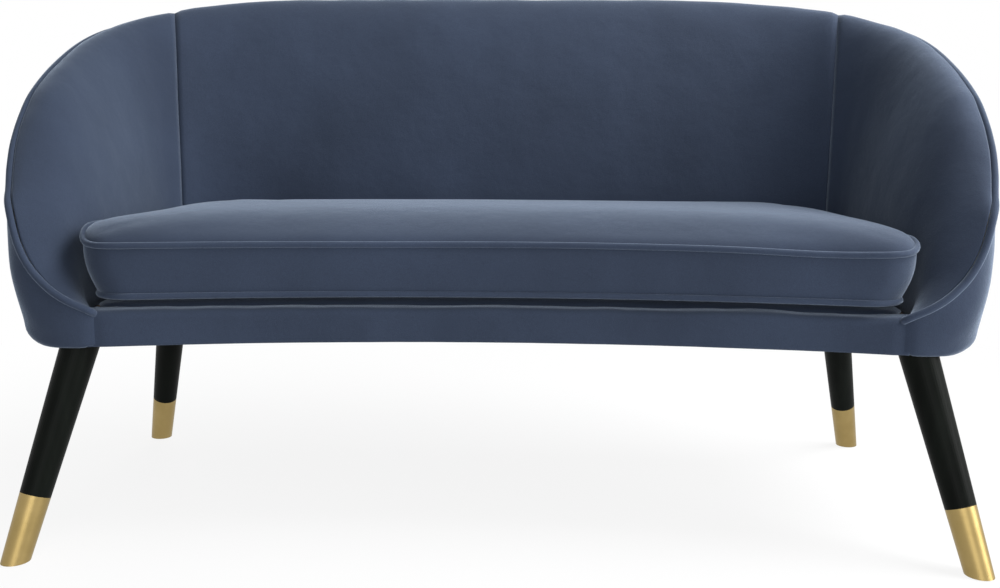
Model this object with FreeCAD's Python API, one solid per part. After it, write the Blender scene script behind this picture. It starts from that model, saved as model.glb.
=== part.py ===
"""Two-seat tub sofa: one padded shell on four splayed legs, with one loose seat cushion.

Frame: millimetres, +Z up, +X to the right of someone facing the sofa, +Y towards the back,
origin on the floor at the middle of the sofa's footprint.
The shell is described by upright ribs set along a path that starts at the right front seam,
runs round the arm's rounded nose, along the arm, round the rear corner and along the back.
A rib is addressed by one number, its place, and every cover, pad and frame member is lofted
between ribs.
"""
import FreeCAD, Part
import math
import os

V = FreeCAD.Vector

# ---- overall sizes ------------------------------------------------------------------------
BODY_BOTTOM = 247.0          # bottom edge of the covers above the floor
BASE_HALF_WIDTH = 576.0      # half of the width at the bottom edge
BASE_BACK_Y = 198.0          # back of the bottom edge
NOSE_Y = -187.0              # middle of the rounded front ends of the arms

# ---- shell, outside of the outer covers ---------------------------------------------------
ARM_FLARE = 32.0             # the arms lean out this far from the bottom edge to the rim
BACK_FLARE = 106.0           # and the back this far
STRAIGHT_ARM = 95.0          # straight length of the arm, from the nose back
CORNER_POWER = 7.0           # squareness of the bottom edge: 2 is an ellipse, more is squarer
RIM_POWER = 4.0              # and of the rim
NOSE_REACH = 52.0            # how far the nose stands in front of its centre
NOSE_FLARE = 22.0            # outward lean of the rim where the nose meets the arm
EDGE_RADIUS = 20.0           # the outer covers turn under the base with this radius
NOSE_EDGE_RADIUS = 4.0       # and with this one where they meet the front rail

# Places along the path: 0 rail seam, 1 nose meets arm, 2 arm meets corner, 3 rear corner,
# 4 middle of the back. The left half mirrors the right, from 4 on to 8.
# Height of the rim above the bottom edge round the nose, at places 0 to 1:
NOSE_RIM = ((0.0, 43.0), (0.25, 61.0), (0.46, 85.0), (0.64, 120.0), (0.82, 162.0), (1.0, 185.0))
# Height of the rim from there on, by its share of the way from the nose to the back:
SIDE_RIM = ((0.0, 185.0), (0.112, 247.0), (0.224, 299.0), (0.438, 356.0), (0.631, 391.0),
            (0.788, 412.0), (0.91, 428.0), (0.972, 442.0), (1.0, 454.0))

# ---- inside of the shell, faces of the inner covers ---------------------------------------
ARM_THICKNESS = 71.0         # from the bottom edge in to the face of the arm at the seat
BACK_THICKNESS = 30.0        # from the bottom edge in to the face of the back at the seat
INSIDE_POWER = 8.0
RIM_THICKNESS = 62.0         # thickness of the padded wall just below the rim
ROLL_RISE = 7.0              # how far the padded roll stands above the rim at most
ROLL_SHARE = 0.03            # and as a share of the height of the inner face
BACK_SEAM = 3.04             # place of the seam between the arm covers and the back cover

# ---- layers of the shell -----------------------------------------------------------------
COVER = 2.0                  # velvet with its backing
FIT = 0.3                    # clearance between parts
LAYER_GAP = 0.8              # slack under the covers, where the fabric only bears lightly
FRAME_THICKNESS = 22.0       # plywood frame members
EDGE_TO_RAIL = 3.0           # the base rails reach this far under the turned edge
GLUE_LINE = 1.2              # the posts stop this far below the top rails
WEB_THICKNESS = 1.5
PIPING_RADIUS = 4.5
TOP_RAIL_DEPTH = 46.0
TOP_RAIL_DROP = 14.0         # top rail below the rim
LUMBAR_RISE = 183.0          # lumbar rails above the bottom edge
LUMBAR_DEPTH = 40.0
WEB_RISES = (93.0, 153.0, 253.0, 313.0)
WEB_WIDTH = 40.0
# Uprights, by the places where each starts and ends:
ARM_POSTS = (("front", 1.1, 1.5), ("rear", 2.2, 2.38))
BACK_POSTS = (("corner", 3.045, 3.13), ("middle", 3.52, 3.59))
CENTRE_POST_HALF = 0.035

# ---- base frame ---------------------------------------------------------------------------
PLATE_THICKNESS = 3.0
RAIL_DEPTH = 33.0
CROSS_RAIL_DEPTH = 22.0
CROSS_RAIL_X = 160.0
CROSS_RAIL_WIDTH = 24.0
SEAM_INSET = 25.0            # seams of the front rail's cover, inside the noses' centres
RAIL_SETBACK = 2.0           # middle of the front rail's face behind the noses' centres
RAIL_SHORT = 15.0            # the front rail ends this far short of the seams
RAIL_PAD = 4.5
TOP_PAD = 7.0                # the cover's top above the rail
RAIL_COVER_RETURN = 34.0     # the rail cover turns this far back over the rail
HEEL_LENGTH = 60.0           # the front blocks run this far back from the nose's centre
HEEL_OVERLAP = 30.0          # and this far in behind the end of the front rail
BLOCK_INNER = 75.0           # the rear blocks reach this far in from the leg's top
BLOCK_OUTER = 40.0           # and this far out, up to the rails
DUST_COVER = 1.5
DUST_SETBACK = 22.0          # front edge of the dust cover behind the rail seams
DUST_CORNER = 25.0           # its front corners, inside the seams
DUST_CURVE = 80.0            # and the ends of its curved front edge

# ---- seat suspension ----------------------------------------------------------------------
SPRING_COUNT = 6
SPRING_SPACING = 130.0
SPRING_WIRE_RADIUS = 1.9
SPRING_PITCH = 24.0
SPRING_HALF_WIDTH = 24.0
SPRING_LEAD = 30.0           # straight ends of a spring
CLIP_LENGTH = 18.0
CLIP_WIDTH = 12.0
CLIP_WALL = 0.6
DECK_CLOTH = 2.5
DECK_PAD = 9.5
DECK_SETBACK = 22.0          # front edge of the deck behind the face of the rail
DECK_SIDE_GAP = 3.0

# ---- seat cushion -------------------------------------------------------------------------
CUSHION_GAP = 8.5            # between the cushion's sides and the inner covers
CUSHION_SETBACK = 6.0        # front of the cushion behind the face of the rail
SEAT_CORNER_RADIUS = 58.0    # plan radius of the front corners of the cushion and deck
CUSHION_BORDER = 66.7        # height of the upper seam above the underside
CROWN_RISE = 38.0            # highest point of the crowned top above the upper seam
CUSHION_COVER = 1.5
CUSHION_PIPING_RADIUS = 4.0
LOWER_SEAM_RISE = 6.0        # the lower seam above the underside
# The crowned top: how far each level shrinks inward, and its share of the rise.
CROWN_LEVELS = ((0.0, 0.0), (8.0, 0.42), (26.0, 0.68), (50.0, 0.86), (74.0, 0.96), (98.0, 1.0))
ZIP_HALF_LENGTH = 200.0
ZIP_WIDTH = 24.0
ZIP_THICKNESS = 1.2

# ---- legs ---------------------------------------------------------------------------------
LEG_IN_SIDE = 48.0           # the leg plates stand this far in from the bottom edge at the sides,
LEG_IN_FRONT = 5.0           # from the front of the noses,
LEG_IN_REAR = 45.0           # and from the back
LEG_SPLAY_X = 58.0           # the foot stands this far outside the leg's top
LEG_SPLAY_Y = 81.0
FOOT_RADIUS = 15.9
LEG_TOP_RADIUS = 22.3
TIP_LENGTH = 80.0            # metal tip, along the leg
TIP_WALL = 1.5
TIP_CLEARANCE = 1.0          # the tip stands off the floor on its glide
GLIDE_RADIUS = 10.0
GLIDE_THICKNESS = 3.0
PLATE_RIM = 0.7              # the plate stands out round the leg's top
BOLT_RADIUS = 4.0
BOLT_IN_LEG = 35.0
BOLT_IN_BLOCK = 28.0
SCREW_RADIUS = 1.9
SCREW_HEAD_RADIUS = 3.6
SCREW_HEAD_HEIGHT = 2.0
SCREW_LENGTH = 16.0
SCREW_EDGE = 5.5             # screw centres in from the edge of the plate

# ---- worked out from the sizes above ------------------------------------------------------
BACK_MIDDLE = 4.0
CORNER = 3.0
SIDES = (("right", 1), ("left", -1))
RIM_HALF_WIDTH = BASE_HALF_WIDTH + ARM_FLARE
RIM_BACK_Y = BASE_BACK_Y + BACK_FLARE
STRAIGHT_ARM_BACK_Y = NOSE_Y + STRAIGHT_ARM
INSIDE_HALF_WIDTH = BASE_HALF_WIDTH - ARM_THICKNESS
INSIDE_BACK_Y = BASE_BACK_Y - BACK_THICKNESS
NOSE_X = INSIDE_HALF_WIDTH   # centre of the rounded front end of the arm
NOSE_CORE = 3.0              # the ribs of the nose stop this far from its centre line
FRAME_BOTTOM = BODY_BOTTOM + PLATE_THICKNESS
LEG_TOP = BODY_BOTTOM
RAIL_TOP = FRAME_BOTTOM + RAIL_DEPTH
CROSS_RAIL_TOP = FRAME_BOTTOM + CROSS_RAIL_DEPTH
RAIL_COVER_TOP = RAIL_TOP + TOP_PAD
RAIL_SEAM_X = NOSE_X - SEAM_INSET
RAIL_MIDDLE_Y = NOSE_Y + RAIL_SETBACK
NOSE_TURN = math.acos((RAIL_SEAM_X - NOSE_X) / (BASE_HALF_WIDTH - NOSE_X))
RAIL_SEAM_Y = NOSE_Y - NOSE_REACH * math.sin(NOSE_TURN)
RAIL_HALF_LENGTH = RAIL_SEAM_X - RAIL_SHORT
RAIL_NEAR = COVER + RAIL_PAD
RAIL_FAR = RAIL_NEAR + FRAME_THICKNESS
FRAME_NEAR = COVER + LAYER_GAP
FRAME_FAR = FRAME_NEAR + FRAME_THICKNESS
BASE_FRAME_NEAR = EDGE_RADIUS - EDGE_TO_RAIL
BASE_FRAME_FAR = BASE_FRAME_NEAR + FRAME_THICKNESS
PAD_BACK = FRAME_FAR + WEB_THICKNESS + 2.0 * FIT
INNER_LOW = RAIL_TOP + 1.0   # the arm covers and pads start here, on the rails
SPRING_Z = RAIL_TOP + CLIP_WALL + SPRING_WIRE_RADIUS
CLIP_TOP = SPRING_Z + SPRING_WIRE_RADIUS + CLIP_WALL
BACK_LOW = CLIP_TOP + FIT    # the back cover and pad start above the spring clips
DECK_TOP = CLIP_TOP + DECK_CLOTH + DECK_PAD
CUSHION_BOTTOM = DECK_TOP + FIT
CUSHION_SEAM = CUSHION_BOTTOM + CUSHION_BORDER
CUSHION_CROWN = CUSHION_SEAM + CROWN_RISE
PLATE_RADIUS = LEG_TOP_RADIUS + PLATE_RIM
SCREW_CIRCLE = PLATE_RADIUS - SCREW_EDGE
FOOT_X = BASE_HALF_WIDTH - LEG_IN_SIDE - PLATE_RADIUS + LEG_SPLAY_X
FRONT_FOOT_Y = NOSE_Y - NOSE_REACH + LEG_IN_FRONT + PLATE_RADIUS - LEG_SPLAY_Y
REAR_FOOT_Y = BASE_BACK_Y - LEG_IN_REAR - PLATE_RADIUS + LEG_SPLAY_Y


# ---- path of the ribs ---------------------------------------------------------------------
def smooth(points, x):
    """Height of a smooth curve through points at x, with no overshoot between them."""
    xs = [p[0] for p in points]
    ys = [p[1] for p in points]
    steps = [xs[i + 1] - xs[i] for i in range(len(xs) - 1)]
    rises = [(ys[i + 1] - ys[i]) / steps[i] for i in range(len(steps))]
    slopes = [rises[0]]
    for i in range(1, len(steps)):
        a, b = rises[i - 1], rises[i]
        slopes.append(0.0 if a * b <= 0 else 2.0 * a * b / (a + b))
    slopes.append(rises[-1])
    i = 0
    while i < len(steps) - 1 and x > xs[i + 1]:
        i += 1
    t = (x - xs[i]) / steps[i]
    start = ys[i] * (1 + 2 * t) * (1 - t) ** 2 + steps[i] * slopes[i] * t * (1 - t) ** 2
    end = ys[i + 1] * t * t * (3 - 2 * t) + steps[i] * slopes[i + 1] * t * t * (t - 1)
    return start + end


def partner(fraction, power):
    """The other coordinate of a unit superellipse."""
    return max(0.0, 1.0 - fraction ** power) ** (1.0 / power)


def plan(place, half_width, back_y, power):
    """Plan point of a squared-off outline from the end of the straight arm to the back."""
    depth = back_y - STRAIGHT_ARM_BACK_Y
    middle = 0.5 ** (1.0 / power)
    if place <= CORNER:
        along = middle * (place - 2.0)
        return half_width * partner(along, power), STRAIGHT_ARM_BACK_Y + depth * along
    across = middle * (BACK_MIDDLE - place)
    return half_width * across, STRAIGHT_ARM_BACK_Y + depth * partner(across, power)


def within(x, y, half_width, back_y, power):
    """Whether a plan point is within a squared-off outline."""
    across = abs(x) / half_width
    along = max(0.0, y - STRAIGHT_ARM_BACK_Y) / (back_y - STRAIGHT_ARM_BACK_Y)
    return across ** power + along ** power < 1.0


def inward_normal(point):
    """Unit normal of the bottom edge's outline at one of its points, pointing inward."""
    depth = BASE_BACK_Y - STRAIGHT_ARM_BACK_Y
    power = CORNER_POWER - 1.0
    nx = (max(0.0, point[0]) / BASE_HALF_WIDTH) ** power / BASE_HALF_WIDTH
    ny = (max(0.0, point[1] - STRAIGHT_ARM_BACK_Y) / depth) ** power / depth
    length = math.hypot(nx, ny)
    return -nx / length, -ny / length


def side_rim_height(y):
    """Height of the rim beside the arms and behind, by its distance back."""
    return BODY_BOTTOM + smooth(SIDE_RIM, (y - NOSE_Y) / (RIM_BACK_Y - NOSE_Y))


class Rib:
    """An upright plane across the shell wall. u is the distance inward from the bottom edge."""

    def __init__(self, place):
        self.side = 1
        if place > BACK_MIDDLE:
            self.side = -1
            place = 2.0 * BACK_MIDDLE - place
        self.place = place
        self.low = BACK_LOW if place >= BACK_SEAM else INNER_LOW
        ease = min(1.0, max(0.0, (place - 0.3) / 0.5))
        ease = ease * ease * (3.0 - 2.0 * ease)
        self.edge_radius = NOSE_EDGE_RADIUS + (EDGE_RADIUS - NOSE_EDGE_RADIUS) * ease
        if place <= 1.0:
            turn = NOSE_TURN * (1.0 - place)
            out_x = (BASE_HALF_WIDTH - NOSE_X) * math.cos(turn)
            out_y = -NOSE_REACH * math.sin(turn)
            reach = math.hypot(out_x, out_y)
            self.base = (NOSE_X + out_x, NOSE_Y + out_y)
            self.inward = (-out_x / reach, -out_y / reach)
            self.flare = NOSE_FLARE * max(0.0, math.cos(turn)) ** 2.5
            self.depth = reach - NOSE_CORE
            self.height = BODY_BOTTOM + smooth(NOSE_RIM, place)
        elif place <= 2.0:
            along = place - 1.0
            ease = math.sin(along * math.pi / 2) ** 2
            self.base = (BASE_HALF_WIDTH, NOSE_Y + along * (STRAIGHT_ARM_BACK_Y - NOSE_Y))
            self.inward = (-1.0, 0.0)
            self.flare = NOSE_FLARE + (ARM_FLARE - NOSE_FLARE) * ease
            self.depth = BASE_HALF_WIDTH - INSIDE_HALF_WIDTH - NOSE_CORE * (1.0 - ease)
            self.height = side_rim_height(self.base[1])
        else:
            self.base = plan(place, BASE_HALF_WIDTH, BASE_BACK_Y, CORNER_POWER)
            self.inward = inward_normal(self.base)
            rim = (RIM_HALF_WIDTH, RIM_BACK_Y, RIM_POWER)
            inner = (INSIDE_HALF_WIDTH, INSIDE_BACK_Y, INSIDE_POWER)
            self.flare = -self.crossing(rim, -300.0, 0.0)
            self.depth = self.crossing(inner, 0.0, 150.0)
            self.height = side_rim_height(self.base[1] - self.inward[1] * self.flare)
        self.rim_thickness = min(RIM_THICKNESS, self.depth + self.flare - 4.0)

    def crossing(self, outline, low, high):
        """Distance inward, between low and high, at which the rib crosses a plan outline."""
        for _ in range(50):
            middle = (low + high) / 2
            x = self.base[0] + self.inward[0] * middle
            y = self.base[1] + self.inward[1] * middle
            if within(x, y, *outline):
                high = middle
            else:
                low = middle
        return high

    def point(self, u, z):
        x = self.base[0] + self.inward[0] * u
        y = self.base[1] + self.inward[1] * u
        return V(self.side * x, y, z)

    def outer(self, z):
        """Outer face at height z: a straight lean from the bottom edge to the rim."""
        return -self.flare * (z - BODY_BOTTOM) / (self.height - BODY_BOTTOM)

    def edge_arc(self, offset):
        """Quarter round by which the outer cover turns under, a thickness inside its face."""
        r = self.edge_radius
        points = []
        for turn in (0.0, 22.5, 45.0, 67.5, 90.0):
            a = math.radians(turn)
            z = BODY_BOTTOM + r - (r - offset) * math.cos(a)
            points.append((self.outer(z) + r - (r - offset) * math.sin(a), z))
        return points

    def inner_curve(self, offset, count=11):
        """Points of the inner face from the rails over the roll to the rim, set back by offset."""
        tall = self.height - self.low
        rise = min(ROLL_RISE, ROLL_SHARE * tall)
        edge = -self.flare
        thick = self.rim_thickness
        controls = ((self.depth, self.low), (self.depth, self.low + 0.42 * tall),
                    (edge + thick + 6.0, self.height - 0.2 * tall),
                    (edge + 0.88 * thick, self.height + 1.8 * rise),
                    (edge + 0.3 * thick, self.height + 1.9 * rise),
                    (edge + PIPING_RADIUS + 0.5, self.height + 0.3 * rise))
        points = []
        for i in range(count):
            t = i / (count - 1)
            u, z = bezier(controls, t)
            near = 1e-3
            u0, z0 = bezier(controls, max(0.0, t - near))
            u1, z1 = bezier(controls, min(1.0, t + near))
            length = math.hypot(u1 - u0, z1 - z0)
            nu, nz = -(z1 - z0) / length, (u1 - u0) / length
            points.append((u + nu * offset, z + nz * offset))
        return points


def bezier(controls, t):
    points = list(controls)
    while len(points) > 1:
        points = [(a[0] + (b[0] - a[0]) * t, a[1] + (b[1] - a[1]) * t)
                  for a, b in zip(points, points[1:])]
    return points[0]


# ---- building solids from ribs ------------------------------------------------------------
def spline(points):
    curve = Part.BSplineCurve()
    curve.interpolate(points)
    return curve.toShape()


def closed_wire(rib, sides):
    """A closed wire in the rib's plane. Each side is a list of (u, z); two points make a line."""
    edges = []
    for side in sides:
        points = [rib.point(u, z) for u, z in side]
        if len(points) == 2:
            edges.append(Part.makeLine(points[0], points[1]))
        else:
            edges.append(spline(points))
    return Part.Wire(edges)


def loft(places, section, straight=False):
    """A solid through the sections at places, with straight or smooth runs between them."""
    wires = []
    for place in places:
        rib = Rib(place)
        wires.append(closed_wire(rib, section(rib)))
    return Part.makeLoft(wires, True, straight)


def steps(start, end, count):
    return [start + (end - start) * i / (count - 1) for i in range(count)]


def mirrored(places):
    return [2.0 * BACK_MIDDLE - p for p in places]


def strip_section(offset_face, offset_back):
    """A thin layer that follows the inner face and the roll."""
    def section(rib):
        face = rib.inner_curve(offset_face)
        back = rib.inner_curve(offset_back)
        return [face, [face[-1], back[-1]], back[::-1], [back[0], face[0]]]
    return section


def wall_section(near, far, low, high):
    """A layer between two depths inside the outer face. low and high give heights for a rib."""
    def section(rib):
        z0, z1 = low(rib), high(rib)
        a = (rib.outer(z0) + near, z0)
        b = (rib.outer(z1) + near, z1)
        c = (rib.outer(z1) + far, z1)
        d = (rib.outer(z0) + far, z0)
        return [[a, b], [b, c], [c, d], [d, a]]
    return section


def pad_section(rib):
    """Foam between the frame and the inner cover, wrapped over the top rail."""
    face = rib.inner_curve(COVER + 1.5 * LAYER_GAP)
    low = rib.low + 0.1
    shelf = rib.height - TOP_RAIL_DROP + LAYER_GAP
    back_low = (min(rib.outer(low) + PAD_BACK, face[0][0] - 3.0), low)
    back_high = (rib.outer(shelf) + PAD_BACK, shelf)
    edge = (rib.outer(shelf) + FRAME_NEAR, shelf)
    return [face, [face[-1], edge], [edge, back_high], [back_high, back_low], [back_low, face[0]]]


# ---- shell covers and pads ----------------------------------------------------------------
NOSE_PLACES = (0.0, 0.12, 0.25, 0.4, 0.55, 0.7, 0.85)
ARM_PLACES = (1.0, 1.12, 1.35, 1.67, 2.0, 2.25, 2.5, 2.65, 2.76, 2.84, 2.9, 2.95)
BACK_PLACES = (3.08, 3.14, 3.22, 3.34, 3.52, 3.76)
PAD_START = 0.5


def by_side(places, side):
    return list(places) if side > 0 else mirrored(places)


def across_back(start):
    """Places right across the back, from a place on the right to its mirror on the left."""
    half = [start] + [p for p in BACK_PLACES if p > start + 0.02]
    return half + [BACK_MIDDLE] + mirrored(half)[::-1]


def inner_back_cover():
    return loft(across_back(BACK_SEAM), strip_section(0.0, COVER))


def inner_arm_cover(side):
    places = NOSE_PLACES + ARM_PLACES + (BACK_SEAM,)
    return loft(by_side(places, side), strip_section(0.0, COVER))


def back_padding():
    return loft(across_back(BACK_SEAM), pad_section)


def arm_padding(side):
    places = [PAD_START, PAD_START + 0.03]
    places += [p for p in NOSE_PLACES if p > PAD_START + 0.1] + list(ARM_PLACES) + [BACK_SEAM]
    return loft(by_side(places, side), pad_section)


def rim_point(place):
    rib = Rib(place)
    return rib.point(-rib.flare, rib.height)


def steepness(place):
    """Length along the rim for each unit of plan length, at a place."""
    step = 0.01
    along = rim_point(min(place + step, BACK_MIDDLE)) - rim_point(max(place - step, 0.0))
    return along.Length / math.hypot(along.x, along.y)


def below_piping(rib):
    """Top edge of the outer covers, just under the piping."""
    return rib.height - (PIPING_RADIUS + 2.0 * FIT) * steepness(rib.place)


def cover_section(rib):
    """The outer cover, turned under at the bottom."""
    top = below_piping(rib)
    outside, inside = rib.edge_arc(0.0), rib.edge_arc(COVER)
    face, back = (rib.outer(top), top), (rib.outer(top) + COVER, top)
    return [outside, [outside[-1], face], [face, back], [back, inside[-1]], inside[::-1],
            [inside[0], outside[0]]]


def outer_cover(places):
    return loft(places, cover_section)


def outer_back_cover():
    return outer_cover(across_back(CORNER))


def outer_side_cover(side):
    return outer_cover(by_side(NOSE_PLACES + ARM_PLACES + (CORNER,), side))


def edge_piping():
    """Round piping in the seam that runs along the rim from one rail seam to the other."""
    half = list(NOSE_PLACES) + list(ARM_PLACES)
    places = half + across_back(CORNER) + mirrored(half)[::-1]
    centres = [rim_point(place) for place in places]
    path = Part.Wire([spline(centres)])
    start = path.Edges[0].Curve.tangent(path.Edges[0].FirstParameter)[0]
    circle = Part.Wire([Part.makeCircle(PIPING_RADIUS, centres[0], start)])
    return path.makePipeShell([circle], True, False)


# ---- shell frame --------------------------------------------------------------------------
def frame_member(places, low, high):
    return loft(places, wall_section(FRAME_NEAR, FRAME_FAR, low, high), True)


def base_member(places):
    section = wall_section(BASE_FRAME_NEAR, BASE_FRAME_FAR,
                           lambda rib: FRAME_BOTTOM, lambda rib: RAIL_TOP)
    return loft(places, section, True)


def top_rail_low(rib):
    return rib.height - TOP_RAIL_DROP - TOP_RAIL_DEPTH


def top_rail_high(rib):
    return rib.height - TOP_RAIL_DROP


def arm_top_rail(side):
    return frame_member(by_side(ARM_PLACES + (CORNER,), side), top_rail_low, top_rail_high)


def back_top_rail():
    return frame_member(across_back(CORNER), top_rail_low, top_rail_high)


def post(start, end, side=1):
    return frame_member(by_side(steps(start, end, 3), side), lambda rib: RAIL_TOP,
                        lambda rib: top_rail_low(rib) - GLUE_LINE)


def lumbar_rails():
    """Short rails between the back posts, behind the webbing."""
    (_, _, corner_end), (_, middle_start, middle_end) = BACK_POSTS
    gaps = ((corner_end, middle_start), (middle_end, BACK_MIDDLE - CENTRE_POST_HALF))
    low = BODY_BOTTOM + LUMBAR_RISE
    rails = []
    for _, side in SIDES:
        for start, end in gaps:
            rails.append(frame_member(by_side(steps(start, end, 4), side),
                                      lambda rib: low, lambda rib: low + LUMBAR_DEPTH))
    return Part.makeCompound(rails)


def webbing():
    """Elastic straps across the face of the back frame."""
    straps = []
    for rise in WEB_RISES:
        low = BODY_BOTTOM + rise
        section = wall_section(FRAME_FAR + FIT, FRAME_FAR + FIT + WEB_THICKNESS,
                               lambda rib, z=low: z, lambda rib, z=low: z + WEB_WIDTH)
        straps.append(loft(across_back(BACK_SEAM + 0.01), section, True))
    return Part.makeCompound(straps)


# ---- base frame ---------------------------------------------------------------------------
def front_arc(setback, half_width):
    """The front rail's curve in plan, set back from the face of its cover."""
    rise = RAIL_MIDDLE_Y - RAIL_SEAM_Y
    radius = (RAIL_SEAM_X ** 2 + rise ** 2) / (2 * rise)
    centre_y = RAIL_MIDDLE_Y - radius
    r = radius + setback
    y_end = centre_y + math.sqrt(r * r - half_width * half_width)
    return (V(-half_width, y_end, 0), V(0, centre_y + r, 0), V(half_width, y_end, 0))


def curved_bar(near, far, half_width, low, high):
    """A bar that follows the front rail's curve between two setbacks."""
    a = front_arc(near, half_width)
    b = front_arc(far, half_width)
    edges = [Part.Arc(*a).toShape(), Part.makeLine(a[2], b[2]),
             Part.Arc(b[2], b[1], b[0]).toShape(), Part.makeLine(b[0], a[0])]
    face = Part.Face(Part.Wire(edges))
    face.translate(V(0, 0, low))
    return face.extrude(V(0, 0, high - low))


SIDE_RAIL_START = 1.5         # place where the side rails meet the front blocks


def front_rail():
    return curved_bar(RAIL_NEAR, RAIL_FAR, RAIL_HALF_LENGTH, FRAME_BOTTOM, RAIL_TOP)


def front_rail_cover():
    outer = curved_bar(0.0, RAIL_COVER_RETURN, RAIL_SEAM_X, BODY_BOTTOM, RAIL_COVER_TOP)
    inner = curved_bar(COVER, RAIL_COVER_RETURN + 1.0, RAIL_SEAM_X + 1.0, BODY_BOTTOM - 1.0,
                       RAIL_COVER_TOP - COVER)
    return outer.cut(inner)


def front_rail_padding():
    outer = curved_bar(COVER + FIT, RAIL_COVER_RETURN, RAIL_HALF_LENGTH, FRAME_BOTTOM,
                       RAIL_COVER_TOP - COVER - FIT)
    inner = curved_bar(RAIL_NEAR, RAIL_COVER_RETURN + 1.0, RAIL_SEAM_X, FRAME_BOTTOM - 1.0,
                       RAIL_TOP)
    pad = outer.cut(inner)
    for index in range(SPRING_COUNT):
        end = spring_ends(index)[0]
        pad = pad.cut(box(end.x - CLIP_WIDTH / 2, end.x + CLIP_WIDTH / 2,
                          end.y - CLIP_LENGTH / 2, end.y + RAIL_COVER_RETURN,
                          RAIL_TOP, CLIP_TOP))
    return pad


def side_rail(side):
    places = [p for p in ARM_PLACES if p > SIDE_RAIL_START] + [CORNER]
    return base_member(by_side(places, side))


def rear_rail():
    return base_member(across_back(CORNER))


def cross_rail(side, front, rear):
    x = side * CROSS_RAIL_X - CROSS_RAIL_WIDTH / 2
    length = BASE_BACK_Y - RAIL_SEAM_Y
    bar = Part.makeBox(CROSS_RAIL_WIDTH, length, CROSS_RAIL_TOP - FRAME_BOTTOM,
                       V(x, RAIL_SEAM_Y, FRAME_BOTTOM))
    return middle_solid(bar.cut(front).cut(rear))


def middle_solid(shape):
    return max(shape.Solids, key=lambda s: s.Volume)


def box(x0, x1, y0, y1, z0, z1):
    return Part.makeBox(x1 - x0, y1 - y0, z1 - z0, V(x0, y0, z0))


def mirror_x(shape):
    return shape.mirror(V(0, 0, 0), V(1, 0, 0))


def leg_top(side, end):
    """Plan point of a leg's top. end is -1 at the front and 1 at the rear."""
    foot_y = FRONT_FOOT_Y if end < 0 else REAR_FOOT_Y
    return side * (FOOT_X - LEG_SPLAY_X), foot_y - end * LEG_SPLAY_Y


def front_block(front, rails):
    """Block in the arm's nose that carries the front leg and joins the rails."""
    edge = BASE_HALF_WIDTH - BASE_FRAME_NEAR
    oval = Part.Ellipse(V(NOSE_X, NOSE_Y, FRAME_BOTTOM), edge - NOSE_X, NOSE_REACH - FRAME_NEAR - 1.0)
    disc = Part.Face(Part.Wire([oval.toShape()])).extrude(V(0, 0, RAIL_TOP - FRAME_BOTTOM))
    heel = box(RAIL_HALF_LENGTH - HEEL_OVERLAP, edge, NOSE_Y, NOSE_Y + HEEL_LENGTH,
               FRAME_BOTTOM, RAIL_TOP)
    block = disc.fuse(heel).removeSplitter()
    return middle_solid(block.cut(front_rail_space()).cut(rails))


def front_rail_space():
    """The rail with its pad and cover, which the blocks stop short of."""
    rail = curved_bar(-40.0, RAIL_FAR, RAIL_HALF_LENGTH, FRAME_BOTTOM - 1.0, RAIL_TOP + 1.0)
    cover = curved_bar(-40.0, RAIL_COVER_RETURN, RAIL_SEAM_X, RAIL_TOP, RAIL_TOP + 1.0)
    face = curved_bar(-40.0, RAIL_NEAR, RAIL_SEAM_X, FRAME_BOTTOM - 1.0, RAIL_TOP + 1.0)
    return rail.fuse(cover).fuse(face)


def rear_block(rails, rear):
    """Block in the rear corner that carries the rear leg and joins the rails."""
    x, y = leg_top(1, 1)
    block = box(x - BLOCK_INNER, x + BLOCK_OUTER, y - BLOCK_INNER, y + BLOCK_OUTER,
                FRAME_BOTTOM, RAIL_TOP)
    return middle_solid(block.cut(rails).cut(rear))


# ---- seat suspension ----------------------------------------------------------------------
def spring_x(index):
    return (index - (SPRING_COUNT - 1) / 2) * SPRING_SPACING


def rail_back_y(x):
    """Back face of the front rail at x."""
    rise = RAIL_MIDDLE_Y - RAIL_SEAM_Y
    radius = (RAIL_SEAM_X ** 2 + rise ** 2) / (2 * rise)
    r = radius + RAIL_FAR
    return RAIL_MIDDLE_Y - radius + math.sqrt(r * r - x * x)


def spring_ends(index):
    """Front and rear ends of a spring, over the middle of the two rails."""
    x = spring_x(index)
    front = rail_back_y(x) - FRAME_THICKNESS / 2
    rear = BASE_BACK_Y - BASE_FRAME_FAR + CLIP_LENGTH / 2
    return V(x, front, SPRING_Z), V(x, rear, SPRING_Z)


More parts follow.
